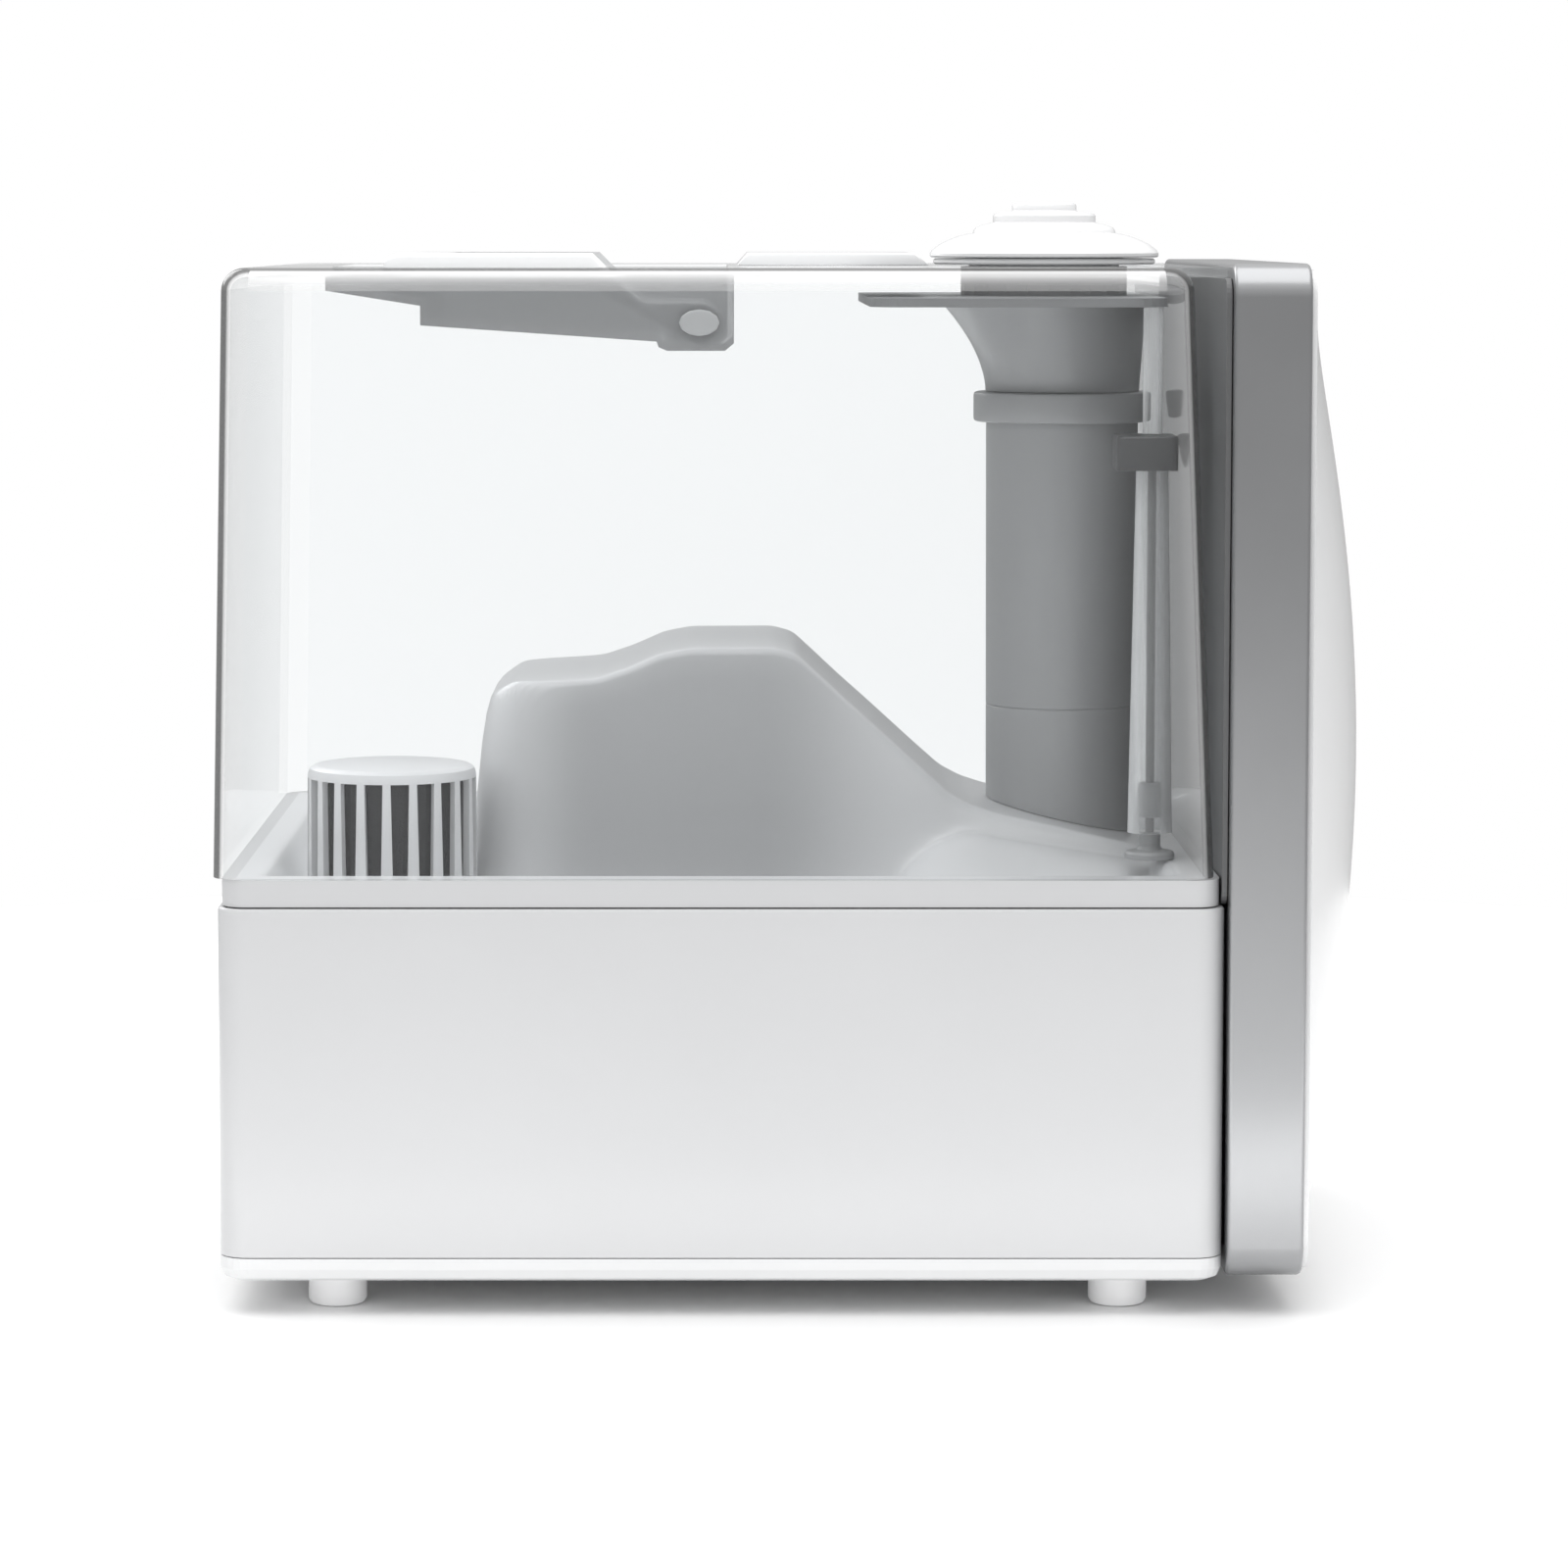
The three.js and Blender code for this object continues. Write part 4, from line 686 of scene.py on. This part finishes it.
piece("chimney_flare", funnel, chimney_shaded, ["chimney_funnel"])
smoked_grey = moulded("socket_grey", (0.2, 0.203, 0.207), roughness=0.4, grain=0.04)
finish_nodes(smoked_grey, "nozzle_socket")

# Level gauge: a clear tube with a dark rod and a small grey float inside, held by a dark clamp block
# on the tank's front wall, and a clear stem above the clamp.
def clear_plastic(name, body_tone, edge_tone, lightest, darkest, curve, roughness=0.03):
    material = bpy.data.materials.new(name)
    material.use_nodes = True
    tree = material.node_tree
    shader = tree.nodes["Principled BSDF"]
    shader.inputs["Roughness"].default_value = roughness
    shader.inputs["Specular IOR Level"].default_value = 0.6
    through = tree.nodes.new("ShaderNodeBsdfTransparent")
    through.inputs["Color"].default_value = (0.985, 0.99, 0.992, 1)
    facing = tree.nodes.new("ShaderNodeLayerWeight")
    facing.inputs["Blend"].default_value = 0.5
    sharper = tree.nodes.new("ShaderNodeMath")
    sharper.operation = "POWER"
    sharper.inputs[1].default_value = curve
    share = tree.nodes.new("ShaderNodeMapRange")
    share.inputs["To Min"].default_value = lightest
    share.inputs["To Max"].default_value = darkest
    place = tree.nodes.new("ShaderNodeTexCoord")
    haze = tree.nodes.new("ShaderNodeTexNoise")
    haze.inputs["Scale"].default_value = 18
    tint = tree.nodes.new("ShaderNodeValToRGB")
    for stop, tone in zip(tint.color_ramp.elements, (edge_tone, body_tone)):
        stop.color = tone + (1,)
    mixer = tree.nodes.new("ShaderNodeMixShader")
    out = tree.nodes["Material Output"]
    tree.links.new(place.outputs["Object"], haze.inputs["Vector"])
    tree.links.new(haze.outputs["Fac"], tint.inputs["Fac"])
    tree.links.new(tint.outputs["Color"], shader.inputs["Base Color"])
    tree.links.new(facing.outputs["Facing"], sharper.inputs[0])
    tree.links.new(sharper.outputs[0], share.inputs["Value"])
    tree.links.new(share.outputs["Result"], mixer.inputs["Fac"])
    tree.links.new(through.outputs[0], mixer.inputs[1])
    tree.links.new(shader.outputs[0], mixer.inputs[2])
    tree.links.new(mixer.outputs[0], out.inputs["Surface"])
    return material


clear_tube = clear_plastic("gauge_acrylic", (0.92, 0.925, 0.93), (0.86, 0.87, 0.88), 0.12, 0.95, 0.9)
gauge_x, gauge_y = middle_of("gauge_tube")
low, high = span("gauge_tube")
foot_r = (high[1] - low[1]) / 2
head_r = 0.0045
skin = 0.0008
piece("gauge_glass", spun(
    [(foot_r - skin, low[2]), (foot_r, low[2]), (head_r, high[2]), (head_r - skin, high[2]),
     (foot_r - skin, low[2])],
    (gauge_x, gauge_y), 48), clear_tube, ["gauge_tube"])
dark_rod = moulded("gauge_dark", (0.05, 0.051, 0.053), roughness=0.4, grain=0.05)
finish_nodes(dark_rod, "gauge_rod")
low, high = span("gauge_float")
r = (high[1] - low[1]) / 2
float_grey = moulded("gauge_float_grey", (0.3, 0.305, 0.31), roughness=0.45, grain=0.06)
piece("gauge_bob", spun(
    [(0.00155, low[2]), (r - 0.0006, low[2]), (r, low[2] + 0.0006), (r, high[2] - 0.0006), (r - 0.0006, high[2]),
     (0.00155, high[2]), (0.00155, low[2])], (gauge_x, gauge_y), 40), float_grey, ["gauge_float"])
low, high = span("gauge_clamp")
clamp_grey = moulded("clamp_grey", (0.055, 0.056, 0.058), roughness=0.35, grain=0.06)
work = block(low, high, 0.002, 4)
round_level(work, high[2], 0.0008, 3)
piece("gauge_clip", work, clamp_grey, ["gauge_clamp"])
low, high = span("gauge_stem")
r = (high[1] - low[1]) / 2
piece("gauge_neck", spun([(0, low[2]), (r, low[2]), (r, high[2]), (0, high[2])], (gauge_x, gauge_y), 40),
      clear_tube, ["gauge_stem"])
low, high = span("gauge_foot")
r = (high[1] - low[1]) / 2
foot_grey = moulded("gauge_foot_grey", (0.34, 0.345, 0.35), roughness=0.4, grain=0.05)
piece("gauge_base", spun(
    [(0, low[2]), (r, low[2]), (r, low[2] + 0.0014), (r - 0.0006, low[2] + 0.002), (0.0036, low[2] + 0.0026),
     (0.003, low[2] + 0.0034), (0.003, high[2]), (0, high[2])], (gauge_x, gauge_y), 40), foot_grey, ["gauge_foot"])

# Clear tank: a drafted box of clear plastic with soft corners, open at the bottom where the white floor
# is welded in. A lip at the top reaches forward to the frame.
tank_clear = clear_plastic("tank_clear", (0.86, 0.865, 0.87), (0.82, 0.825, 0.83), 0.03, 0.6, 14.0)


# Where the wall bends, its colour is set by viewing angle: a painted reflection of the dark surroundings,
# light next to the flat wall and dark at the outline. Seen from inside the tank, the same bend is clear.
def bend_painted_reflection(name, tones, covers):
    material = bpy.data.materials.new(name)
    material.use_nodes = True
    tree = material.node_tree
    shader = tree.nodes["Principled BSDF"]
    shader.inputs["Roughness"].default_value = 0.06
    through = tree.nodes.new("ShaderNodeBsdfTransparent")
    facing = tree.nodes.new("ShaderNodeLayerWeight")
    facing.inputs["Blend"].default_value = 0.5
    tone = tree.nodes.new("ShaderNodeValToRGB")
    cover = tree.nodes.new("ShaderNodeValToRGB")
    for ramp, stops in ((tone, tones), (cover, covers)):
        while len(ramp.color_ramp.elements) < len(stops):
            ramp.color_ramp.elements.new(0.5)
        for stop, (at, grey) in zip(ramp.color_ramp.elements, stops):
            stop.position = at
            stop.color = (grey, grey, grey, 1)
        tree.links.new(facing.outputs["Facing"], ramp.inputs["Fac"])
    side = tree.nodes.new("ShaderNodeNewGeometry")
    outside = tree.nodes.new("ShaderNodeMath")
    outside.operation = "SUBTRACT"
    outside.inputs[0].default_value = 1
    kept = tree.nodes.new("ShaderNodeMath")
    kept.operation = "MULTIPLY"
    mixer = tree.nodes.new("ShaderNodeMixShader")
    tree.links.new(tone.outputs["Color"], shader.inputs["Base Color"])
    tree.links.new(side.outputs["Backfacing"], outside.inputs[1])
    tree.links.new(cover.outputs["Color"], kept.inputs[0])
    tree.links.new(outside.outputs[0], kept.inputs[1])
    tree.links.new(kept.outputs[0], mixer.inputs["Fac"])
    tree.links.new(through.outputs[0], mixer.inputs[1])
    tree.links.new(shader.outputs[0], mixer.inputs[2])
    tree.links.new(mixer.outputs[0], tree.nodes["Material Output"].inputs["Surface"])
    return material


# Painted reflection on the tank's upright corners and its rounded top edge: light beside the flat wall, dark at
# the outline
tank_corner = bend_painted_reflection("tank_corner", ((0.0, 0.8), (0.30, 0.7), (0.44, 0.06), (1.0, 0.03)),
                           ((0.0, 0.03), (0.25, 0.18), (0.44, 0.85), (1.0, 0.92)))
tank_brow = bend_painted_reflection("tank_brow", ((0.0, 0.95), (0.42, 0.93), (0.56, 0.08), (1.0, 0.04)),
                         ((0.0, 0.2), (0.25, 0.55), (0.5, 0.78), (1.0, 0.9)))
t_low, t_high = span("tank_shell")
lip_length = 0.0094
rear_draft, front_draft, side_draft = 0.0032, 0.0064, 0.0036
front_bottom = t_high[0] - lip_length + front_draft
top_round = 0.0062
skin = 0.0026
tank_corner_radius = 0.008
work = block(t_low, (front_bottom, t_high[1], t_high[2]), tank_corner_radius, 10)
round_level(work, t_high[2], top_round, 8)
tall = t_high[2] - t_low[2]
centre_x = (t_low[0] + front_bottom) / 2
for vert in work.verts:
    t = (vert.co.z - t_low[2]) / tall
    vert.co.x += rear_draft * t if vert.co.x < centre_x else -front_draft * t
    vert.co.y -= math.copysign(side_draft * t, vert.co.y)
bottom = [f for f in work.faces if all(abs(v.co.z - t_low[2]) < 1e-5 for v in f.verts)]
bmesh.ops.delete(work, geom=bottom, context="FACES_ONLY")
tank = piece("clear_tank", work, tank_clear, ["tank_shell"], soft_below=50)
wall_inwards(tank, skin)
applied(tank)
socket_r = 0.0243
cut_by(tank, spun([(0, t_high[2] - 0.01), (socket_r, t_high[2] - 0.01), (socket_r, t_high[2] + 0.01),
                   (0, t_high[2] + 0.01)], (nozzle_x, nozzle_y), 64))
w_low, w_high = span("handle_well")
well_wall = 0.0018
cut_by(tank, block((w_low[0] + well_wall, w_low[1] + well_wall, t_high[2] - 0.01),
                   (w_high[0] - well_wall, w_high[1] - well_wall, t_high[2] + 0.01), 0.003, 5))
tank.data.materials.append(tank_corner)
tank.data.materials.append(tank_brow)
# The front wall stands in front of the grey tower; its dark grey at grazing view is a painted reflection of the
# tower
tank.data.materials.append(clear_plastic(
    "tank_front_painted_reflection", (0.2, 0.203, 0.207), (0.17, 0.172, 0.176), 0.03, 0.95, 5.0))
tank_middle = Vector((centre_x, 0, t_low[2]))
corner_reach = tank_corner_radius - 0.0002
round_reach = top_round * 0.97
for face in tank.data.polygons:
    x, y, z = face.center
    t = (z - t_low[2]) / tall
    from_ends = min(x - t_low[0] - rear_draft * t, front_bottom - front_draft * t - x)
    from_sides = t_high[1] - side_draft * t - abs(y)
    upright_corner = from_ends < corner_reach and from_sides < corner_reach
    rounded_top = t_high[2] - z < round_reach and min(from_ends, from_sides) < round_reach
    outer = face.normal.dot(face.center - tank_middle) > 0
    if outer and upright_corner:
        face.material_index = 1
    elif outer and rounded_top and face.area < 0.004:
        face.material_index = 2
    elif abs(face.normal.x) > 0.9 and x > centre_x:
        face.material_index = 3
tank.data.set_sharp_from_angle(angle=math.radians(50))
lip = block((t_high[0] - lip_length - 0.003, t_low[1] + 0.012, t_high[2] - 0.0026),
            (t_high[0], t_high[1] - 0.012, t_high[2]), 0)
lip_front = [e for e in lip.edges if all(v.co.x > t_high[0] - 1e-5 for v in e.verts)]
bmesh.ops.bevel(lip, geom=lip_front, offset=0.0008, offset_type="OFFSET", affect="EDGES",
                segments=3, profile=0.5, material=-1)
lip_mesh = bpy.data.meshes.new("tank_lip")
bmesh.ops.recalc_face_normals(lip, faces=lip.faces)
lip.to_mesh(lip_mesh)
lip.free()
lip_mesh.materials.append(tank_clear)
tank_lip = bpy.data.objects.new("tank_lip", lip_mesh)
scene.collection.objects.link(tank_lip)
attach(tank_lip, body_with["tank_shell"])

# Handle well: a smoke-grey translucent tub moulded under the tank's top. The handle folds into it
# and turns on two short grey pins.
well_smoke = clear_plastic("well_smoke", (0.33, 0.335, 0.34), (0.28, 0.285, 0.29), 0.55, 0.95, 2.0, roughness=0.2)
well_copy = bmesh.new()
well_copy.from_mesh(frame["nodes"]["handle_well"].data)
bmesh.ops.remove_doubles(well_copy, verts=well_copy.verts, dist=1e-6)
bmesh.ops.dissolve_limit(well_copy, angle_limit=0.02, verts=well_copy.verts, edges=well_copy.edges)
piece("well_tub", well_copy, well_smoke, ["handle_well"])
pin_grey = moulded("pin_grey", (0.42, 0.425, 0.43), roughness=0.3, grain=0.04, coat=0.3)
finish_nodes(pin_grey, "handle_pin_left", "handle_pin_right")

# Handle and the fixed plate in front of it: white gloss mouldings with rounded edges.
# The handle swings on the well's pins, and the plate is fixed on the tank's top.
top_white = moulded("top_white", (0.93, 0.932, 0.937), roughness=0.25, grain=0.01, drift=0.008, coat=0.4)
for name, node in (("carry_handle_bow", "handle"), ("top_cover", "top_plate")):
    copy = bmesh.new()
    copy.from_mesh(frame["nodes"][node].data)
    bmesh.ops.remove_doubles(copy, verts=copy.verts, dist=1e-6)
    bmesh.ops.dissolve_limit(copy, angle_limit=0.02, verts=copy.verts, edges=copy.edges)
    piece(name, copy, top_white, [node], soft_below=45)

# Nozzle: a plug ring in the tank's socket, and a stepped dome that turns on it.
# Both are white gloss mouldings and lift out together.
low, high = span("nozzle_ring")
plug_r, plug_bore = 0.0217, 0.0197
flange_r = (high[1] - low[1]) / 2
t_top = t_high[2]
piece("nozzle_plug_ring", spun([
    (plug_bore, low[2]), (plug_r - 0.0006, low[2]), (plug_r, low[2] + 0.0006), (plug_r, t_top + 0.0003),
    (flange_r - 0.0005, t_top + 0.0003), (flange_r, t_top + 0.0008), (flange_r, high[2] - 0.003),
    (flange_r - 0.0005, high[2] - 0.0025), (plug_bore + 0.003, high[2] - 0.0025), (plug_bore + 0.003, high[2]),
    (plug_bore, high[2]), (plug_bore, low[2])], (nozzle_x, nozzle_y), 96), top_white, ["nozzle_ring"])
low, high = span("nozzle_dome")
brim = (high[1] - low[1]) / 2
outlet_r = 0.0093
tier_r = 0.0148
z0 = low[2]
dome_outline = [
    (brim - 0.0004, z0), (brim, z0 + 0.0004), (brim, z0 + 0.0012), (brim - 0.0006, z0 + 0.0021),
    (0.0305, z0 + 0.0036),
    (0.0280, z0 + 0.0049), (0.0250, z0 + 0.0061), (0.0222, z0 + 0.0068), (0.0206, z0 + 0.0070),
    (0.0204, z0 + 0.0078), (0.0198, z0 + 0.0086), (0.0180, z0 + 0.0093), (0.0160, z0 + 0.0098),
    (tier_r, z0 + 0.0101), (tier_r, z0 + 0.0119), (tier_r - 0.0004, z0 + 0.0125), (tier_r - 0.0012, z0 + 0.0128),
    (outlet_r + 0.0004, z0 + 0.0132), (outlet_r, z0 + 0.0135), (outlet_r, high[2] - 0.0007),
    (outlet_r - 0.0003, high[2] - 0.0002), (outlet_r - 0.0008, high[2]), (outlet_r - 0.0026, high[2]),
    (outlet_r - 0.003, high[2] - 0.0005), (outlet_r - 0.003, z0 + 0.0110), (tier_r - 0.0022, z0 + 0.0090),
    (0.0178, z0 + 0.0055), (0.0278, z0 + 0.0018), (brim - 0.0022, z0), (brim - 0.0004, z0),
]
piece("nozzle_cap", spun(dome_outline, (nozzle_x, nozzle_y), 96), top_white, ["nozzle_dome"])

# Filling cap with its cartridge: a white slotted cage full of dark resin stands on the cap,
# inside the tank's filling neck.
cap_white = moulded("cap_white", (0.72, 0.725, 0.73), roughness=0.36, grain=0.04)
finish_nodes(cap_white, "tank_cap")
silicone = moulded("silicone_grey", (0.09, 0.09, 0.095), roughness=0.75, grain=0.1)
finish_nodes(silicone, "cap_seal", "valve_washer")
finish_nodes(pin_grey, "valve_stem")
resin = moulded("resin_beads", (0.018, 0.018, 0.02), roughness=0.6, grain=0.6, grain_scale=1400, drift=0.3)
finish_nodes(resin, "cartridge_core")
cage_white = moulded("cage_white", (0.70, 0.705, 0.715), roughness=0.34, grain=0.02, coat=0.1)
low, high = span("cartridge_cage")
cage_r = (high[1] - low[1]) / 2
cage_wall = 0.0022
rib_count = 20
slot_low, slot_high = sunk + 0.002, high[2] - 0.0035
base_r = 0.0227
base_wall = 0.002
cage = spun([
    (base_r - base_wall, low[2]), (base_r, low[2]), (base_r, low[2] + 0.003), (cage_r, low[2] + 0.005),
    (cage_r - 0.0003, slot_high), (cage_r - 0.0004, high[2] - 0.0024), (cage_r - 0.0009, high[2] - 0.0010),
    (cage_r - 0.0022, high[2] - 0.0002), (cage_r - 0.0036, high[2]), (0, high[2] - 0.0003),
    (0, high[2] - cage_wall), (cage_r - 0.003, high[2] - cage_wall),
    (cage_r - cage_wall, slot_high - 0.001), (cage_r - cage_wall, low[2] + 0.006),
    (base_r - base_wall, low[2] + 0.004), (base_r - base_wall, low[2])], (cap_x, cap_y), 120)
cartridge = piece("cartridge_body", cage, cage_white, ["cartridge_cage"])
wide_top, wide_foot = 0.0052, 0.0040
for n in range(rib_count // 2):
    spoke = block((-cage_r - 0.002, -wide_foot / 2, slot_low), (cage_r + 0.002, wide_foot / 2, slot_high), 0)
    for vert in spoke.verts:
        if vert.co.z > (slot_low + slot_high) / 2:
            vert.co.y = math.copysign(wide_top / 2, vert.co.y)
    turn = Matrix.Translation((cap_x, cap_y, 0)) @ Matrix.Rotation(math.tau * (n + 0.5) / rib_count, 4, "Z")
    bmesh.ops.transform(spoke, matrix=turn, verts=spoke.verts)
    spoke_mesh = bpy.data.meshes.new("spoke")
    spoke.to_mesh(spoke_mesh)
    spoke.free()
    cutter = bmesh.new()
    cutter.from_mesh(spoke_mesh)
    bpy.data.meshes.remove(spoke_mesh)
    cut_by(cartridge, cutter)
cartridge.data.set_sharp_from_angle(angle=math.radians(32))
